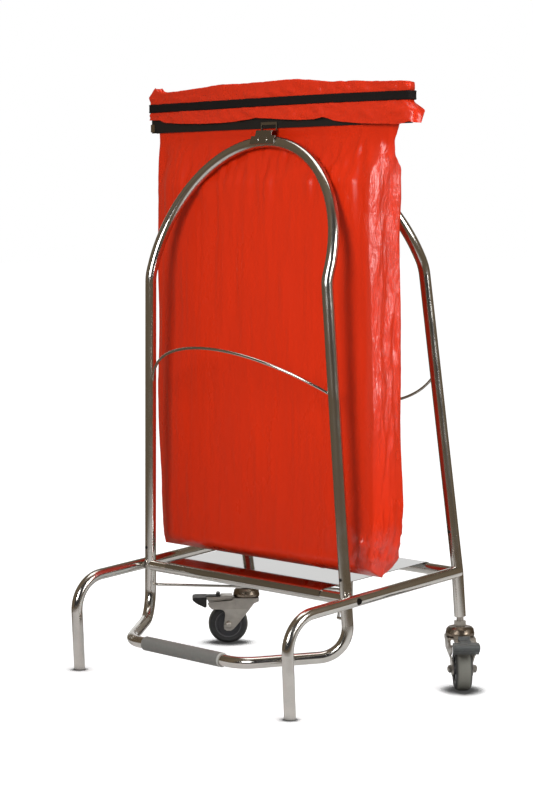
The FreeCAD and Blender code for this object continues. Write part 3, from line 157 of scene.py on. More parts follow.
def surround():
    """White where the camera looks past the stand, and the dim warm room in reflections."""
    world = bpy.data.worlds.new("surround")
    bpy.context.scene.world = world
    world.use_nodes = True
    tree = world.node_tree
    tree.nodes.clear()
    path = tree.nodes.new("ShaderNodeLightPath")
    where = tree.nodes.new("ShaderNodeTexCoord")
    room = tree.nodes.new("ShaderNodeValToRGB")
    for i, (spot, shade) in enumerate(ROOM_STOPS):
        stop = room.color_ramp.elements[i] if i < 2 else room.color_ramp.elements.new(spot)
        stop.position = spot
        stop.color = (*shade, 1.0)
    ahead = how_far_ahead(tree, where.outputs["Generated"])
    tree.links.new(range_node(tree, ahead, -1.0, 1.0), room.inputs["Fac"])
    seen = math_node(tree, "MAXIMUM", path.outputs["Is Glossy Ray"], path.outputs["Is Transmission Ray"])
    mirrored = mix_node(tree, seen, (ROOM_GLOW, ROOM_GLOW, ROOM_GLOW, 1.0), room.outputs["Color"])
    sky = mix_node(tree, path.outputs["Is Camera Ray"], mirrored, (*WHITE, 1.0))
    glow = tree.nodes.new("ShaderNodeBackground")
    tree.links.new(sky, glow.inputs["Color"])
    out = tree.nodes.new("ShaderNodeOutputWorld")
    tree.links.new(glow.outputs["Background"], out.inputs["Surface"])


def studio_floor():
    """White paper with contact shadows painted under what stands on it. In reflections it turns brown beyond
    its end.
    """
    mesh = bpy.data.meshes.new("studio_floor")
    reach = 30.0
    mesh.from_pydata([(-reach, -reach, 0), (reach, -reach, 0), (reach, reach, 0), (-reach, reach, 0)], [],
                     [(0, 1, 2, 3)])
    floor = shown("studio_floor", mesh)
    paint = bpy.data.materials.new("studio_floor")
    paint.use_nodes = True
    tree = paint.node_tree
    tree.nodes.clear()
    path = tree.nodes.new("ShaderNodeLightPath")
    spot = place_in_object(tree)
    away = vector_node(tree, "LENGTH", spot, out="Value")
    # painted shadow: an occlusion test darkens the paper's colour and its glow close to whatever stands on it
    touch = tree.nodes.new("ShaderNodeAmbientOcclusion")
    touch.inputs["Distance"].default_value = CONTACT_REACH
    touch.samples = 8
    painted_contact_shade = range_node(tree, touch.outputs["AO"], 0.70, 0.90, to_low=0.06)
    matt = tree.nodes.new("ShaderNodeBsdfDiffuse")
    tree.links.new(vector_node(tree, "MULTIPLY", (PAPER_SHADE,) * 3, painted_contact_shade), matt.inputs["Color"])
    lit = math_node(tree, "MULTIPLY", range_node(tree, away, 0.8, 5.0, 0.79, 0.90), painted_contact_shade)
    seen = math_node(tree, "MULTIPLY_ADD", path.outputs["Is Glossy Ray"], PAPER_IN_MIRRORS,
                     path.outputs["Is Camera Ray"])
    lift = tree.nodes.new("ShaderNodeEmission")
    tree.links.new(math_node(tree, "MULTIPLY", seen, lit), lift.inputs["Strength"])
    paper = tree.nodes.new("ShaderNodeAddShader")
    tree.links.new(matt.outputs["BSDF"], paper.inputs[0])
    tree.links.new(lift.outputs["Emission"], paper.inputs[1])
    behind = math_node(tree, "MAXIMUM", how_far_ahead(tree, spot), 0.0)
    reached = math_node(tree, "MULTIPLY_ADD", behind, 1.2, away)
    ended = range_node(tree, reached, *PAPER_ENDS, kind="SMOOTHSTEP")
    room = tree.nodes.new("ShaderNodeEmission")
    room.inputs["Color"].default_value = (*ROOM_BROWN, 1.0)
    ground = tree.nodes.new("ShaderNodeMixShader")
    tree.links.new(math_node(tree, "MULTIPLY", path.outputs["Is Glossy Ray"], ended), ground.inputs["Fac"])
    tree.links.new(paper.outputs["Shader"], ground.inputs[1])
    tree.links.new(room.outputs["Emission"], ground.inputs[2])
    out = tree.nodes.new("ShaderNodeOutputMaterial")
    tree.links.new(ground.outputs["Shader"], out.inputs["Surface"])
    mesh.materials.append(paint)


photo_camera()
surround()
studio_floor()
soft_lamp("key_lamp", (0.80, -2.1, 1.45), (0.14, 0.0, 0.72), 0.9, 1.1, 4.4, spread=0.95)
soft_lamp("side_lamp", (4.2, 0.7, 2.3), (0.0, 0.0, 0.6), 1.6, 2.2, 125.0)
soft_lamp("top_lamp", (-0.4, 0.4, 4.0), (0.0, 0.0, 0.6), 2.6, 2.0, 40.0)
bpy.context.scene.view_settings.view_transform = "Standard"


# Chrome-plated steel tube: side rails with their legs, rear posts, both hoops, the pedal bow, the cross tube
# and the pivot tube. The plating is polished, with faint wipe marks and a little grime in places.

FINER = 7.0


def noise_node(tree, place, scale, detail, rough=0.5):
    node = tree.nodes.new("ShaderNodeTexNoise")
    for name, value in (("Vector", place), ("Scale", scale), ("Detail", detail), ("Roughness", rough)):
        feed(tree, node.inputs[name], value)
    return node.outputs["Fac"]


def marks_group(name, scale, soft, depth, drawn=WHITE):
    """A mask and a bumped normal of a handled surface. Drawn stretches them along an axis."""
    group = bpy.data.node_groups.new(name, "ShaderNodeTree")
    group.interface.new_socket("Scale", in_out="INPUT", socket_type="NodeSocketFloat").default_value = scale
    group.interface.new_socket("Mask", in_out="OUTPUT", socket_type="NodeSocketFloat")
    group.interface.new_socket("Normal", in_out="OUTPUT", socket_type="NodeSocketVector")
    start = group.nodes.new("NodeGroupInput").outputs["Scale"]
    end = group.nodes.new("NodeGroupOutput")
    place = vector_node(group, "MULTIPLY", place_in_object(group), drawn)
    broad = noise_node(group, place, start, 5.0, soft)
    fine = noise_node(group, place, math_node(group, "MULTIPLY", start, FINER), 3.0)
    bump = group.nodes.new("ShaderNodeBump")
    bump.inputs["Strength"].default_value = 0.25
    bump.inputs["Distance"].default_value = depth
    group.links.new(fine, bump.inputs["Height"])
    group.links.new(broad, end.inputs["Mask"])
    group.links.new(bump.outputs["Normal"], end.inputs["Normal"])
    return group


def finish(name, color, roughness, metallic=0.0, marks=None, scale=None, rough_spread=0.1, shade_spread=0.15,
           specular=0.5):
    """A material whose roughness and shade wander with a marks group, within the spreads given."""
    paint = bpy.data.materials.new(name)
    paint.use_nodes = True
    tree = paint.node_tree
    shader = tree.nodes["Principled BSDF"]
    shader.inputs["Metallic"].default_value = metallic
    shader.inputs["Specular IOR Level"].default_value = specular
    surface = tree.nodes.new("ShaderNodeGroup")
    surface.node_tree = marks
    if scale is not None:
        surface.inputs["Scale"].default_value = scale
    mask = surface.outputs["Mask"]
    dulled = range_node(tree, mask, 0.35, 0.70, roughness, roughness + rough_spread)
    darker = [c * (1.0 - shade_spread) for c in color]
    tree.links.new(dulled, shader.inputs["Roughness"])
    tree.links.new(mix_node(tree, mask, (*color, 1.0), (*darker, 1.0)), shader.inputs["Base Color"])
    tree.links.new(surface.outputs["Normal"], shader.inputs["Normal"])
    return paint


def tint(paint, share, color):
    """Lays a colour over the material's own, by the share that a node gives."""
    base = paint.node_tree.nodes["Principled BSDF"].inputs["Base Color"]
    own = base.links[0].from_socket
    paint.node_tree.links.new(mix_node(paint.node_tree, share, own, (*color, 1.0)), base)


def wear(paint, *names):
    """Gives the finish to every slot of the named pieces."""
    for name in names:
        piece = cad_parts[name]
        if not piece.material_slots:
            piece.data.materials.append(paint)
        for slot in piece.material_slots:
            slot.material = paint


wipe_marks = marks_group("wipe_marks", 26.0, 0.55, 0.00004)
chrome = finish("chrome_plate", (0.67, 0.645, 0.60), 0.13, metallic=1.0, marks=wipe_marks, shade_spread=0.22)
wear(chrome, "side_rail_left", "side_rail_right", "rear_post_left", "rear_post_right", "rear_hoop",
     "front_hoop", "pedal_bow", "rear_cross_tube", "pivot_tube", "rod_guide")


# Retaining bows and the return rod: 5 mm chromed wire, bent cold. The bows are welded to the hoops and keep
# the bag in, and the rod hangs on the pedal bow.

wire_chrome = finish("wire_chrome", (0.60, 0.57, 0.52), 0.12, metallic=1.0, marks=wipe_marks, scale=60.0,
                     shade_spread=0.25)
wear(wire_chrome, "front_wire", "rear_wire", "return_rod")


# Bottom tray: thin polished steel sheet under the bag, folded down at its edges. It lies on the cross tube
# and the pivot tube.

sheet_polish = finish("polished_sheet", (0.50, 0.50, 0.49), 0.04, metallic=1.0, marks=wipe_marks, scale=9.0,
                      rough_spread=0.05, shade_spread=0.12)
wear(sheet_polish, "tray")


# Brackets: pressed sheet steel, spot-welded to the tops of the arches. The upturned lip of each is pierced,
# so that the black strip shows through it under the bar.

LIP_BOTTOM, LIP_BAR = 0.9632, 0.9718
LIP_HALF_WINDOW, LIP_REACH = 0.0178, 0.004
WELD_ACROSS = (-0.0125, 0.0095)
WELD_SPOT = (0.0036, 0.0036, 0.0011)
BOX_FACES = [(0, 1, 3, 2), (4, 6, 7, 5), (0, 4, 5, 1), (2, 3, 7, 6), (0, 2, 6, 4), (1, 5, 7, 3)]
bracket_steel = finish("bracket_steel", (0.46, 0.43, 0.385), 0.16, metallic=1.0, marks=wipe_marks, scale=60.0,
                       rough_spread=0.18, shade_spread=0.45)


def lip_window(lip_y):
    """A block the size of the window in a bracket's lip."""
    corners = [(x, lip_y + y, z) for x in (-LIP_HALF_WINDOW, LIP_HALF_WINDOW)
               for y in (-LIP_REACH, LIP_REACH) for z in (LIP_BOTTOM, LIP_BAR)]
    mesh = bpy.data.meshes.new("window")
    mesh.from_pydata(corners, [], BOX_FACES)
    return shown("window", mesh)


def pierced_bracket(name, source, body, lip_y, weld_spot, outwards):
    """The bracket's solid with a window in its lip, softened edges and two raised weld spots on its foot."""
    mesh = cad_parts[source].data.copy()
    mesh.name = name
    work = bmesh.new()
    work.from_mesh(mesh)
    bmesh.ops.remove_doubles(work, verts=work.verts, dist=0.000002)
    bmesh.ops.dissolve_limit(work, angle_limit=0.01, verts=work.verts, edges=work.edges)
    work.to_mesh(mesh)
    work.free()
    bracket = shown(name, mesh)
    cutter = lip_window(lip_y)
    pierce = bracket.modifiers.new("pierce", "BOOLEAN")
    pierce.object = cutter
    pierce.solver = "EXACT"
    soften = bracket.modifiers.new("soften", "BEVEL")
    soften.width = 0.0004
    soften.segments = 2
    soften.limit_method = "ANGLE"
    bpy.context.view_layer.update()
    shaped = bpy.data.meshes.new_from_object(bracket.evaluated_get(bpy.context.evaluated_depsgraph_get()))
    bracket.modifiers.clear()
    bpy.data.objects.remove(cutter)
    work = bmesh.new()
    work.from_mesh(shaped)
    facing = Vector(outwards).to_track_quat("Z", "Y").to_matrix().to_4x4()
    for across in WELD_ACROSS:
        dome = bmesh.ops.create_uvsphere(work, u_segments=20, v_segments=10, radius=1.0)["verts"]
        for v in dome:
            v.co = facing @ (v.co * Vector(WELD_SPOT)) + Vector((across, *weld_spot))
    work.to_mesh(shaped)
    work.free()
    shaped.materials.clear()
    shaped.materials.append(bracket_steel)
    shaped.polygons.foreach_set("use_smooth", [False] * len(shaped.polygons))
    bracket.data = shaped
    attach(bracket, body)
    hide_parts(source)


pierced_bracket("front_pierced_bracket", "front_bracket", "pedal_lever", -0.0010, (-0.0175, 0.9463),
                (0.0, -0.9548, 0.2974))
pierced_bracket("rear_pierced_bracket", "rear_bracket", "base", 0.0256, (0.0363, 0.9458), (0.0, 0.866, 0.5))


# Fasteners and castor steel: zinc plated and a little dull. The swivel heads are worn brown, and the pivot
# bolts and the seam rivets are blackened.

zinc = finish("zinc_plate", (0.52, 0.485, 0.435), 0.28, metallic=1.0, marks=wipe_marks, scale=80.0,
              rough_spread=0.22, shade_spread=0.35)
wear(zinc, "pivot_washers", "lock_nuts", "castor_stem_left", "castor_stem_right", "castor_fork_left",
     "castor_fork_right", "castor_axle_left", "castor_axle_right", "brake_lever_left", "brake_lever_right",
     "brake_pin_left", "brake_pin_right")
worn_zinc = finish("worn_zinc", (0.30, 0.245, 0.19), 0.20, metallic=1.0, marks=wipe_marks, scale=70.0,
                   rough_spread=0.25, shade_spread=0.5)
wear(worn_zinc, "castor_head_left", "castor_head_right")
black_steel = finish("blackened_steel", (0.030, 0.026, 0.024), 0.25, metallic=1.0, marks=wipe_marks,
                     scale=80.0)
wear(black_steel, "front_seam_rivets", "rear_seam_rivets", "pivot_bolts")


# Mouth strips: black spring strips on edge, moulded plastic with a low sheen, with bronze clips over their
# ends. The plugs, the bushes and the brakes' toe pieces are of like plastic. The right toe piece gets a
# lighter grey copy of it, which is painted light: the frontal light on its face.

grain = marks_group("moulded_grain", 140.0, 0.6, 0.00012)
black_plastic = finish("black_plastic", (0.012, 0.010, 0.009), 0.38, marks=grain, rough_spread=0.2,
                       shade_spread=0.4)
wear(black_plastic, "front_jaw", "rear_jaw", "foot_plugs", "post_plugs", "pivot_bushes", "brake_tip_left")
# painted light: a lighter grey copy of the black plastic stands for the frontal light on the right toe piece
painted_lit_plastic = finish("painted_lit_plastic", (0.105, 0.112, 0.110), 0.42, marks=grain, rough_spread=0.2,
                       shade_spread=0.5)
wear(painted_lit_plastic, "brake_tip_right")
bronze = finish("bronze_clip", (0.42, 0.36, 0.27), 0.24, metallic=1.0, marks=wipe_marks, scale=90.0,
                rough_spread=0.15)
wear(bronze, "end_clips")


# Pedal sleeve: grey rubber hose pushed over the pedal bar, matt, so that a shoe keeps its hold. Its cut end
# is paler.

SLEEVE_END, CUT_EDGE = 0.0995, 0.0006
sleeve_grey = finish("sleeve_rubber", (0.235, 0.232, 0.215), 0.62, marks=grain, scale=220.0,
                     rough_spread=0.15, shade_spread=0.18, specular=0.35)
tree = sleeve_grey.node_tree
across = tree.nodes.new("ShaderNodeSeparateXYZ")
tree.links.new(place_in_object(tree), across.inputs["Vector"])
cut_end = range_node(tree, across.outputs["X"], SLEEVE_END - CUT_EDGE, SLEEVE_END)
tint(sleeve_grey, cut_end, (0.55, 0.55, 0.52))
wear(sleeve_grey, "pedal_sleeve")


# Castor wheels: black rubber tyres on dark grey moulded cores. Dust greys the treads, and a paler ring runs
# round each core.

CASTOR_TURNS = {"left": math.radians(230.3), "right": math.radians(320.3)}
TREAD_DUST, TREAD_RADII = (0.185, 0.182, 0.155), (0.0345, 0.0367)
CORE_RING, RING_RADII = (0.085, 0.085, 0.088), (0.0225, 0.0240)


def band_round_axle(paint, side, radii, color, share):
    """Tints the material where it lies this far from the wheel's axle, fading in between the two radii."""
    low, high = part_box(f"castor_tyre_{side}")
    turn = CASTOR_TURNS[side]
    tree = paint.node_tree
    from_axle = vector_node(tree, "SUBTRACT", place_in_object(tree), (low + high) / 2)
    turned = vector_node(tree, "CROSS_PRODUCT", from_axle, (-math.sin(turn), math.cos(turn), 0.0))
    radius = vector_node(tree, "LENGTH", turned, out="Value")
    tint(paint, range_node(tree, radius, *radii, to_high=share), color)


for side in ("left", "right"):
    tyre_black = finish("tyre_rubber_" + side, (0.021, 0.021, 0.021), 0.5, marks=grain, scale=120.0,
                        rough_spread=0.2)
    band_round_axle(tyre_black, side, TREAD_RADII, TREAD_DUST, 0.85)
    wear(tyre_black, "castor_tyre_" + side)
    core_grey = finish("wheel_core_" + side, (0.030, 0.030, 0.034), 0.35, marks=grain, scale=90.0,
                       rough_spread=0.15)
    band_round_axle(core_grey, side, RING_RADII, CORE_RING, 0.9)
    wear(core_grey, "castor_hub_" + side)


# The bag: one tube of thin glossy film, welded across its foot. Its mouth goes up between the strips, loops
# over them and hangs down outside under the elastic. The front hangs flat and turns back at its left edge,
# the right side opens into a folded gusset, and the foot has a pressed hem and a crumpled corner.

MOUTH_Y = 0.0123
STRIP_FOOT, STRIP_TOP = 0.966, 1.030
FRONT_COLUMNS, GUSSET_COLUMNS, EDGE_COLUMNS = 190, 8, 6
# by height above the floor: the left edge, the front right ridge, the facet beside it, the fold inside the
# gusset and the rear right edge, each across and in depth
LEFT_EDGE = [(0.208, -0.302), (0.240, -0.306), (0.500, -0.309), (0.860, -0.309), (0.966, -0.312)]
LEFT_DEPTH = [(0.208, 0.002), (0.300, 0.0110), (0.860, 0.0110), (0.945, 0.0040)]
RIDGE = [(0.208, 0.266), (0.260, 0.276), (0.500, 0.276), (0.690, 0.270), (0.820, 0.262), (0.880, 0.266),
         (0.920, 0.271), (0.945, 0.267), (0.966, 0.257)]
FACET_ACROSS = [(0.208, 0.268), (0.300, 0.285), (0.450, 0.284), (0.600, 0.279), (0.730, 0.278),
                (0.820, 0.276), (0.900, 0.275), (0.945, 0.273), (0.966, 0.268)]
FACET_BACK = [(0.208, 0.000), (0.240, -0.012), (0.300, -0.017), (0.600, -0.019), (0.820, -0.0190),
              (0.880, -0.0185), (0.900, -0.0150), (0.920, -0.0095), (0.945, -0.0047), (0.966, -0.0039)]
FOLD_ACROSS = [(0.208, 0.270), (0.300, 0.291), (0.450, 0.288), (0.600, 0.281), (0.730, 0.274),
               (0.820, 0.272), (0.900, 0.277), (0.945, 0.284), (0.966, 0.286)]
FOLD_BACK = [(0.208, 0.000), (0.300, 0.002), (0.450, 0.006), (0.600, 0.010), (0.730, 0.000),
             (0.820, -0.006), (0.900, -0.0085), (0.920, -0.0060), (0.945, -0.0042), (0.966, -0.0039)]
REAR_ACROSS = [(0.208, 0.262), (0.260, 0.284), (0.330, 0.289), (0.500, 0.284), (0.880, 0.281),
               (0.920, 0.287), (0.945, 0.298), (0.966, 0.306)]
REAR_SWELL = [(0.208, 0.000), (0.240, 0.004), (0.330, 0.006), (0.480, 0.002), (0.600, 0.000)]
FRONT_DEPTH = [(0.8717, 0.0280), (0.9488, 0.0040)]
REAR_DEPTH = [(0.8940, 0.0280), (0.9400, 0.0016), (0.9500, 0.0030), (0.9600, 0.0040)]
NECK_MIDDLE, NECK_END, NECK_HALF, NECK_SHIFT = 0.0091, 0.0039, 0.3105, -0.0015
SKIRT_HALF, SKIRT_MIDDLE, SKIRT_END = 0.3337, 0.0133, 0.0077
TOP_EDGE = [(-0.334, 1.034), (-0.326, 1.040), (-0.319, 1.049), (-0.310, 1.042), (-0.291, 1.039),
            (-0.248, 1.040), (-0.192, 1.043), (-0.124, 1.047), (-0.057, 1.046), (0.034, 1.048),
            (0.073, 1.048), (0.147, 1.040), (0.220, 1.038), (0.290, 1.035), (0.320, 1.034),
            (0.334, 1.031)]
HEM_EDGE = [(-0.334, 0.990), (-0.297, 0.989), (-0.283, 0.984), (-0.240, 0.981), (-0.184, 0.979),
            (-0.129, 0.979), (-0.089, 0.980), (-0.049, 0.983), (-0.030, 0.985), (0.016, 0.982),
            (0.042, 0.980), (0.080, 0.978), (0.118, 0.978), (0.142, 0.981), (0.167, 0.974),
            (0.191, 0.971), (0.227, 0.968), (0.263, 0.966), (0.298, 0.965), (0.318, 0.964),
            (0.334, 0.967)]


def soft_step(value, low, high):
    t = np.clip((value - low) / (high - low), 0.0, 1.0)
    return t * t * (3.0 - 2.0 * t)


def read_off(where, points):
    return np.interp(where, [p[0] for p in points], [p[1] for p in points])


def pouch_plan(height):
    """The hanging film in plan at one height: front, round the gusset, back, and round the left edge."""
    left, thin = read_off(height, LEFT_EDGE), read_off(height, LEFT_DEPTH)
    front, rear = read_off(height, FRONT_DEPTH), read_off(height, REAR_DEPTH) + read_off(height, REAR_SWELL)
    corners = [(read_off(height, RIDGE), -front),
               (read_off(height, FACET_ACROSS), read_off(height, FACET_BACK)),
               (read_off(height, FOLD_ACROSS), read_off(height, FOLD_BACK)),
               (read_off(height, REAR_ACROSS), rear)]
    front_x = np.linspace(left, corners[0][0], FRONT_COLUMNS)
    rear_x = np.linspace(corners[3][0], left, FRONT_COLUMNS)[1:]
    share = np.linspace(0.0, 1.0, GUSSET_COLUMNS + 1)[1:]
    xs, ys = [front_x], [-(thin + (front - thin) * turned_edge(front_x - left))]
    for (x0, y0), (x1, y1) in zip(corners, corners[1:]):
        xs.append(x0 + share * (x1 - x0))
        ys.append(y0 + share * (y1 - y0))
    xs += [rear_x, np.full(EDGE_COLUMNS, left)]
    round_edge = np.linspace(1.0, -1.0, EDGE_COLUMNS + 2)[1:-1]
    ys += [thin + (rear - thin) * turned_edge(rear_x - left), thin * round_edge]
    xs, ys = np.concatenate(xs), np.concatenate(ys)
    for _ in range(2):
        xs = 0.25 * np.roll(xs, 1) + 0.5 * xs + 0.25 * np.roll(xs, -1)
        ys = 0.25 * np.roll(ys, 1) + 0.5 * ys + 0.25 * np.roll(ys, -1)
    return xs, ys


def turned_edge(from_edge):
    """Share of the full depth at a distance from the left edge, where the film turns back."""
    return 1.0 - (1.0 - np.clip(from_edge / 0.095, 0.0, 1.0)) ** 1.9


def faces_of_plan():
    """Minus one on the front and the gusset, plus one on the back, sliding between them at the left edge."""
    return np.concatenate([np.full(FRONT_COLUMNS + 3 * GUSSET_COLUMNS, -1.0), np.full(FRONT_COLUMNS - 1, 1.0),
                           np.linspace(1.0, -1.0, EDGE_COLUMNS + 2)[1:-1]])


def lens_depth(across, middle, end, blunt=60):
    """Depth of a slim lens in plan, from minus one to one across, rounded shut at its right end."""
    across = np.clip(across, -1.0, 1.0)
    shut = np.sqrt(1.0 - np.where(across > 0, across, 0.0) ** blunt)
    return (end + (middle - end) * (1.0 - across ** 2)) * shut


def pouch_level(height, face):
    """One level of the hanging pouch, rounded under at its foot, opening to the strips' bow at its top."""
    xs, ys = pouch_plan(height)
    under = math.sqrt(soft_step(height, 0.2080, 0.2270))
    ys = ys * (0.03 + 0.97 * under)
    opened = soft_step(height, 0.948, 0.966)
    bow = face * lens_depth((xs - NECK_SHIFT) / NECK_HALF, NECK_MIDDLE, NECK_END)
    ys = ys + (bow - ys) * opened
    return np.stack([xs, ys + MOUTH_Y, np.full_like(xs, height)], axis=1)


def film_rings(face):
    heights = [0.2080, 0.2084, 0.2094, 0.2112, 0.2140, 0.2180, *np.linspace(0.223, STRIP_FOOT, 128)]
    rings = [pouch_level(height, face) for height in heights]
    neck = rings[-1]
    span = (neck[:, 0] - NECK_SHIFT) / NECK_HALF
    rim = STRIP_TOP + 0.001
    for t in np.linspace(0.0, 1.0, 11)[1:]:
        level = neck.copy()
        level[:, 2] = STRIP_FOOT + t * (rim - STRIP_FOOT)
        rings.append(level)
    for turn in np.linspace(0.0, math.pi, 12)[1:]:
        t = (1.0 - math.cos(turn)) / 2
        swell = 0.0014 * math.sin(turn)
        reach = span * np.where(span > 0, 1.0 + 0.014 * t, 1.0)
        xs = NECK_SHIFT * (1.0 - t) + reach * (NECK_HALF + t * (SKIRT_HALF - NECK_HALF))
        ys = face * lens_depth(reach, NECK_MIDDLE + t * (SKIRT_MIDDLE - NECK_MIDDLE) + swell,
                               NECK_END + t * (SKIRT_END - NECK_END) + swell, 60 + 240 * t)
        zs = rim + math.sin(turn) * (read_off(xs, TOP_EDGE) - rim)
        rings.append(np.stack([xs, ys + MOUTH_Y, zs], axis=1))
    over = rings[-1]
    for t in np.linspace(0.0, 1.0, 22)[1:]:
        level = over.copy()
        level[:, 2] = rim + t * (hem_height(level[:, 0], face) - rim)
        rings.append(level)
    return rings


def hem_height(x, face):
    back = 0.977 + 0.004 * np.sin(19.0 * x + 1.0) + 0.003 * np.sin(43.0 * x)
    return np.where(face < 0, read_off(x, HEM_EDGE), back)


def wandering(points, seed, wide, deep, tall, terms=30):
    """Soft random relief, about one high, as a seeded sum of waves of these lengths in x, y and z."""
    chance = np.random.default_rng(seed)
    total = np.zeros(points.shape[:-1])
    for _ in range(terms):
        rate = chance.normal(0.0, 1.0, 3) / (wide, deep, tall)
        total += np.cos(points @ rate * 2 * math.pi + chance.uniform(0, 2 * math.pi))
    return total / math.sqrt(terms / 2)


def off_line(x, z, line):
    """How far each place on the film is from a drawn line of (x, z) points."""
    best = np.full(x.shape, 9.0)
    for (x0, z0), (x1, z1) in zip(line, line[1:]):
        dx, dz = x1 - x0, z1 - z0
        t = np.clip(((x - x0) * dx + (z - z0) * dz) / (dx * dx + dz * dz), 0.0, 1.0)
        best = np.minimum(best, np.hypot(x - x0 - t * dx, z - z0 - t * dz))
    return best


FRONT_FOLDS = [
    # line of (x, z) on the front, height of the fold, its half width
    ([(-0.268, 0.578), (-0.232, 0.428), (-0.204, 0.426), (-0.199, 0.262)], 0.0007, 0.0030),
    ([(-0.288, 0.236), (-0.190, 0.231), (-0.157, 0.233), (-0.061, 0.226), (0.096, 0.234), (0.208, 0.234)],
     0.0013, 0.0032),
    ([(-0.190, 0.231), (-0.157, 0.219)], 0.0014, 0.0030),
    ([(0.070, 0.236), (0.125, 0.212)], 0.0015, 0.0040),
    ([(0.222, 0.300), (0.252, 0.268), (0.278, 0.290)], 0.0028, 0.0060),
    ([(0.252, 0.268), (0.236, 0.214)], 0.0022, 0.0045),
    ([(0.252, 0.268), (0.286, 0.222)], 0.0024, 0.0045),
    ([(0.205, 0.262), (0.228, 0.236)], 0.0018, 0.0050),
    ([(0.246, 0.452), (0.276, 0.453)], 0.0009, 0.0026),
    ([(0.150, 0.962), (0.120, 0.925), (0.104, 0.880)], 0.0014, 0.0070),
    ([(0.196, 0.962), (0.176, 0.900), (0.172, 0.845)], 0.0017, 0.0065),
    ([(0.226, 0.962), (0.214, 0.890), (0.205, 0.800)], 0.0019, 0.0060),
    ([(0.205, 0.780), (0.196, 0.700), (0.200, 0.600)], -0.0030, 0.0180),
    ([(-0.238, 0.962), (-0.244, 0.900), (-0.236, 0.830)], 0.0010, 0.0060),
    ([(-0.196, 0.962), (-0.190, 0.915)], 0.0010, 0.0060),
    ([(-0.150, 0.962), (-0.160, 0.900), (-0.158, 0.850)], 0.0009, 0.0080),
    ([(-0.226, 0.640), (-0.205, 0.470), (-0.212, 0.300)], -0.0022, 0.0240),
    ([(0.215, 0.440), (0.235, 0.350), (0.205, 0.300)], -0.0022, 0.0180),
    ([(-0.100, 0.520), (-0.110, 0.400)], 0.0008, 0.0140),
    ([(0.060, 0.700), (0.075, 0.560), (0.070, 0.480)], 0.0008, 0.0160),
]


def folds_of(points, face):
    """How far the hanging film stands out from its smooth form, place by place."""
    x, z = points[..., 0], points[..., 2]
    body = soft_step(z, 0.212, 0.240) * (1.0 - soft_step(z, 0.925, 0.955))
    relief = 0.0011 * wandering(points, 11, 0.120, 0.060, 0.50)
    relief += 0.00045 * wandering(points, 12, 0.030, 0.025, 0.20)
    relief += 0.00010 * wandering(points, 13, 0.011, 0.010, 0.045)
    belly = np.sin(np.clip((z - 0.208) / 0.66, 0, 1) * math.pi)
    relief += 0.0036 * belly * np.clip(1 - (x / 0.277) ** 2, 0, 1)
    relief += 0.0016 * soft_step(z, 0.760, 0.910) * wandering(points, 14, 0.036, 0.030, 0.25)
    corner = soft_step(x, 0.205, 0.250) * (1.0 - soft_step(z, 0.270, 0.320))
    relief += corner * (0.0011 * wandering(points, 15, 0.030, 0.020, 0.035)
                        + 0.0005 * wandering(points, 16, 0.012, 0.012, 0.012))
    relief *= body
    for line, high, wide in FRONT_FOLDS:
        relief += np.where(face < 0, high * np.exp(-(off_line(x, z, line) / wide) ** 2), 0.0)
        shifted = [(-a + 0.02, b + 0.01) for a, b in line]
        relief += np.where(face > 0, 0.7 * high * np.exp(-(off_line(x, z, shifted) / wide) ** 2) * body, 0.0)
    return relief


def gusset_folds(points):
    """Small sharp pleats of the folded right side, which run with its upright folds."""
    x, y, z = points[..., 0], points[..., 1] - MOUTH_Y, points[..., 2]
    side = soft_step(x, 0.255, 0.272) * (1.0 - soft_step(y, 0.014, 0.024))
    fold = read_off(z, FOLD_BACK)
    pleat = 0.0022 * np.exp(-np.abs(y - fold + 0.0105) / 0.0022) * soft_step(z, 0.62, 0.72)
    strayed = np.abs(y - fold - 0.0100 - 0.002 * np.sin(11.0 * z))
    pleat += 0.0020 * np.exp(-strayed / 0.0026) * soft_step(z, 0.45, 0.60)
    pleat += 0.0008 * wandering(points, 21, 0.05, 0.010, 0.09)
    pleat += 0.0010 * wandering(points, 22, 0.05, 0.022, 0.22)
    fade = soft_step(z, 0.215, 0.260) * (1.0 - soft_step(z, 0.900, 0.945))
    return side * pleat * fade


def collar_folds(points, face):
    """The loose film over the strips: bulged above and below the elastic, with a few slanting gathers."""
    x, z = points[..., 0], points[..., 2]
    free = 1.0 - np.exp(-((z - 1.0115) / 0.0088) ** 6)
    slant = points + np.stack([1.6 * (z - 1.0115), 0 * z, 0 * z], axis=-1)
    lean = points - np.stack([1.8 * (z - 1.0115), 0 * z, 0 * z], axis=-1)
    gather = 0.0015 * np.maximum(wandering(slant, 31, 0.075, 0.080, 0.050), -0.4)
    gather += 0.0009 * np.maximum(wandering(lean, 32, 0.030, 0.080, 0.030), -0.3)
    gather += 0.00035 * wandering(points, 33, 0.012, 0.030, 0.012)
    below = soft_step(1.004 - z, 0.0, 0.022)
    flared = 0.0040 * soft_step(x, 0.16, 0.30) * (face < 0)
    gather += below * (0.0030 + 0.0012 * np.sin(23.0 * x + 0.7) + flared)
    gather += soft_step(z, 1.020, 1.030) * 0.0006 * wandering(points, 34, 0.030, 0.020, 0.030)
    gather *= 1.0 - 0.7 * soft_step(z, 1.029, 1.036)
    return (gather + 0.0008) * free


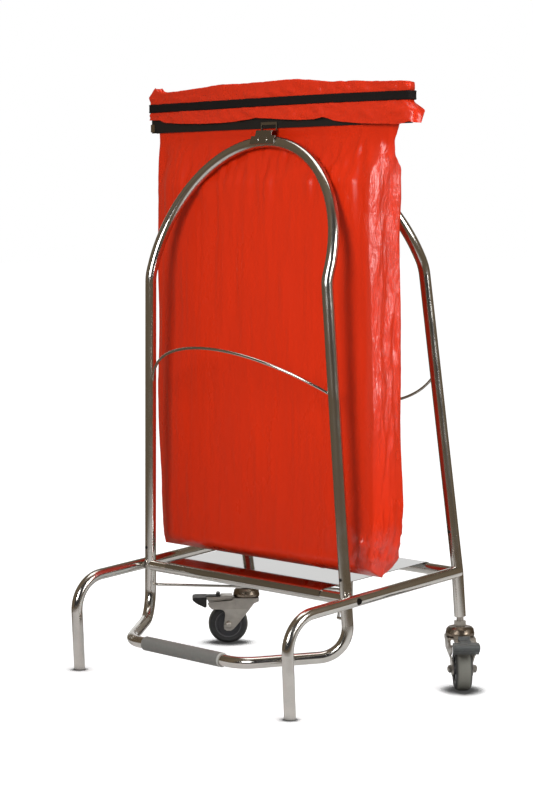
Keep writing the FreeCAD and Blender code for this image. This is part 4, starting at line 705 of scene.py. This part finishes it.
def film_bag():
    face = faces_of_plan()
    points = np.array(film_rings(face))
    rows = len(points)
    pouch_rows = 134
    loop_rows = 145
    round_it = np.roll(points, -1, axis=1) - np.roll(points, 1, axis=1)
    upwards = np.gradient(points, axis=0)
    outward = np.cross(round_it, upwards)
    outward /= np.maximum(np.linalg.norm(outward, axis=2, keepdims=True), 1e-12)
    outward[loop_rows:] *= -1.0
    row = np.arange(rows)[:, None]
    lift = np.where(row < pouch_rows, folds_of(points, face), 0.0)
    started = np.clip((row - loop_rows) / 5.0, 0.0, 1.0)
    lift = lift + np.where(row >= loop_rows, collar_folds(points, face), 0.0) * started
    points = points + outward * lift[..., None]
    points[..., 0] += np.where(row < pouch_rows, gusset_folds(points), 0.0)
    loose_end(points, row >= loop_rows + 5)
    points[0, :, 1] = MOUTH_Y
    mesh = grid_mesh("film_bag", points)
    shine = mesh.attributes.new("shine", "FLOAT", "POINT")
    shine.data.foreach_set("value", stretched_film(points, face, row < pouch_rows).ravel())
    work = bmesh.new()
    work.from_mesh(mesh)
    bmesh.ops.remove_doubles(work, verts=[v for v in work.verts if v.co.z < 0.2083], dist=0.0004)
    bmesh.ops.recalc_face_normals(work, faces=work.faces)
    work.to_mesh(mesh)
    work.free()
    mesh.polygons.foreach_set("use_smooth", [True] * len(mesh.polygons))
    return shown("film_bag", mesh)


def stretched_film(points, face, pouch):
    """Where the film is drawn tight and shines most: the gusset, the crumpled corner and the collar."""
    x, z = points[..., 0], points[..., 2]
    tight = soft_step(x, 0.252, 0.266) * (1.0 - soft_step(z, 0.900, 0.945)) * soft_step(z, 0.300, 0.560)
    corner = 0.6 * soft_step(x, 0.200, 0.240) * (1.0 - soft_step(z, 0.262, 0.300))
    return np.where(pouch, np.maximum(tight, corner) * (face < 0), 0.30)


def loose_end(points, turned_out):
    """Pulls the collar's right end out into a loose flap and its left end up into a small ear."""
    x, z = points[..., 0].copy(), points[..., 2].copy()
    pull = np.where(turned_out, soft_step(x, 0.290, 0.328) * soft_step(1.004 - z, 0.0, 0.020), 0.0)
    points[..., 0] += 0.017 * pull
    points[..., 2] += 0.002 * pull * np.sin(160.0 * x)
    ear = np.where(turned_out, soft_step(-x, 0.312, 0.333) * soft_step(z, 1.020, 1.040), 0.0)
    points[..., 0] -= 0.002 * ear


def grid_mesh(name, rings):
    """Joins closed rings of equal length into one skin."""
    rows, count = len(rings), len(rings[0])
    row, column = np.meshgrid(np.arange(rows - 1), np.arange(count), indexing="ij")
    after = (column + 1) % count
    quads = np.stack([row * count + column, row * count + after, (row + 1) * count + after,
                      (row + 1) * count + column], axis=-1).reshape(-1, 4)
    mesh = bpy.data.meshes.new(name)
    mesh.from_pydata(np.concatenate(rings).tolist(), [], quads.tolist())
    return mesh


DULL_TO_TIGHT = (0.20, 1.0)
CRACKLE_DEPTH = 0.0028
film_creases = marks_group("film_creases", 9.0, 0.6, 0.0016, drawn=(1.0, 1.0, 0.4))
film = finish("red_film", (0.745, 0.031, 0.005), 0.25, marks=film_creases, scale=9.0, rough_spread=0.10,
              shade_spread=0.16)
tree = film.node_tree
shader = tree.nodes["Principled BSDF"]
tight = tree.nodes.new("ShaderNodeAttribute")
tight.attribute_name = "shine"
gloss = range_node(tree, tight.outputs["Fac"], 0.0, 1.0, *DULL_TO_TIGHT)
tree.links.new(gloss, shader.inputs["Specular IOR Level"])
drawn = vector_node(tree, "MULTIPLY", place_in_object(tree), (1.0, 1.6, 0.45))
crackle = tree.nodes.new("ShaderNodeBump")
crackle.inputs["Distance"].default_value = CRACKLE_DEPTH
tree.links.new(tight.outputs["Fac"], crackle.inputs["Strength"])
tree.links.new(noise_node(tree, drawn, 70.0, 4.0, 0.65), crackle.inputs["Height"])
tree.links.new(shader.inputs["Normal"].links[0].from_socket, crackle.inputs["Normal"])
tree.links.new(crackle.outputs["Normal"], shader.inputs["Normal"])
bag = film_bag()
bag.data.materials.append(film)
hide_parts("bag")
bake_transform(bag)


# The elastic: a flat woven band stretched round the folded film, with a rib along each edge. It presses the
# film against both strips.

BAND_FOOT = 1.004
BAND_HALF, BAND_MIDDLE, BAND_END = 0.3374, 0.01545, 0.00995
BAND_GAUGE = 0.0016


def elastic_band():
    """The band's outline carried round the collar: a face with ribbed edges, and a plain inside."""
    outline = [(0.0, -0.0004), (0.0016, 0.0), (0.0034, -0.0003), (0.0116, -0.0003), (0.0134, 0.0),
               (0.0150, -0.0004), (0.0150, -BAND_GAUGE), (0.0, -BAND_GAUGE)]
    turn = np.linspace(0.0, 2 * math.pi, 401)[:-1]
    across = -np.cos(turn)
    span = np.sign(across) * (1.0 - (1.0 - np.abs(across)) ** 1.35)
    face = np.where(np.sin(turn) >= 0, -1.0, 1.0)
    rings = []
    for rise, out in outline + outline[:1]:
        half = BAND_HALF + out
        depth = (BAND_END + out + (BAND_MIDDLE - BAND_END) * (1.0 - span ** 2)) * np.sqrt(1.0 - span ** 300)
        height = BAND_FOOT + rise + 0.0006 * np.sin(9.0 * span * half + 1.0)
        rings.append(np.stack([span * half, MOUTH_Y + face * depth, height], axis=1))
    mesh = grid_mesh("elastic_band", rings)
    work = bmesh.new()
    work.from_mesh(mesh)
    bmesh.ops.remove_doubles(work, verts=work.verts, dist=0.00001)
    bmesh.ops.recalc_face_normals(work, faces=work.faces)
    work.to_mesh(mesh)
    work.free()
    mesh.polygons.foreach_set("use_smooth", [True] * len(mesh.polygons))
    return shown("elastic_band", mesh)


weave = marks_group("band_weave", 400.0, 0.5, 0.0002)
elastic = finish("woven_elastic", (0.012, 0.009, 0.008), 0.8, marks=weave, rough_spread=0.1, shade_spread=0.5,
                 specular=0.2)
band = elastic_band()
band.data.materials.append(elastic)
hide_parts("elastic_strap")
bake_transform(band)
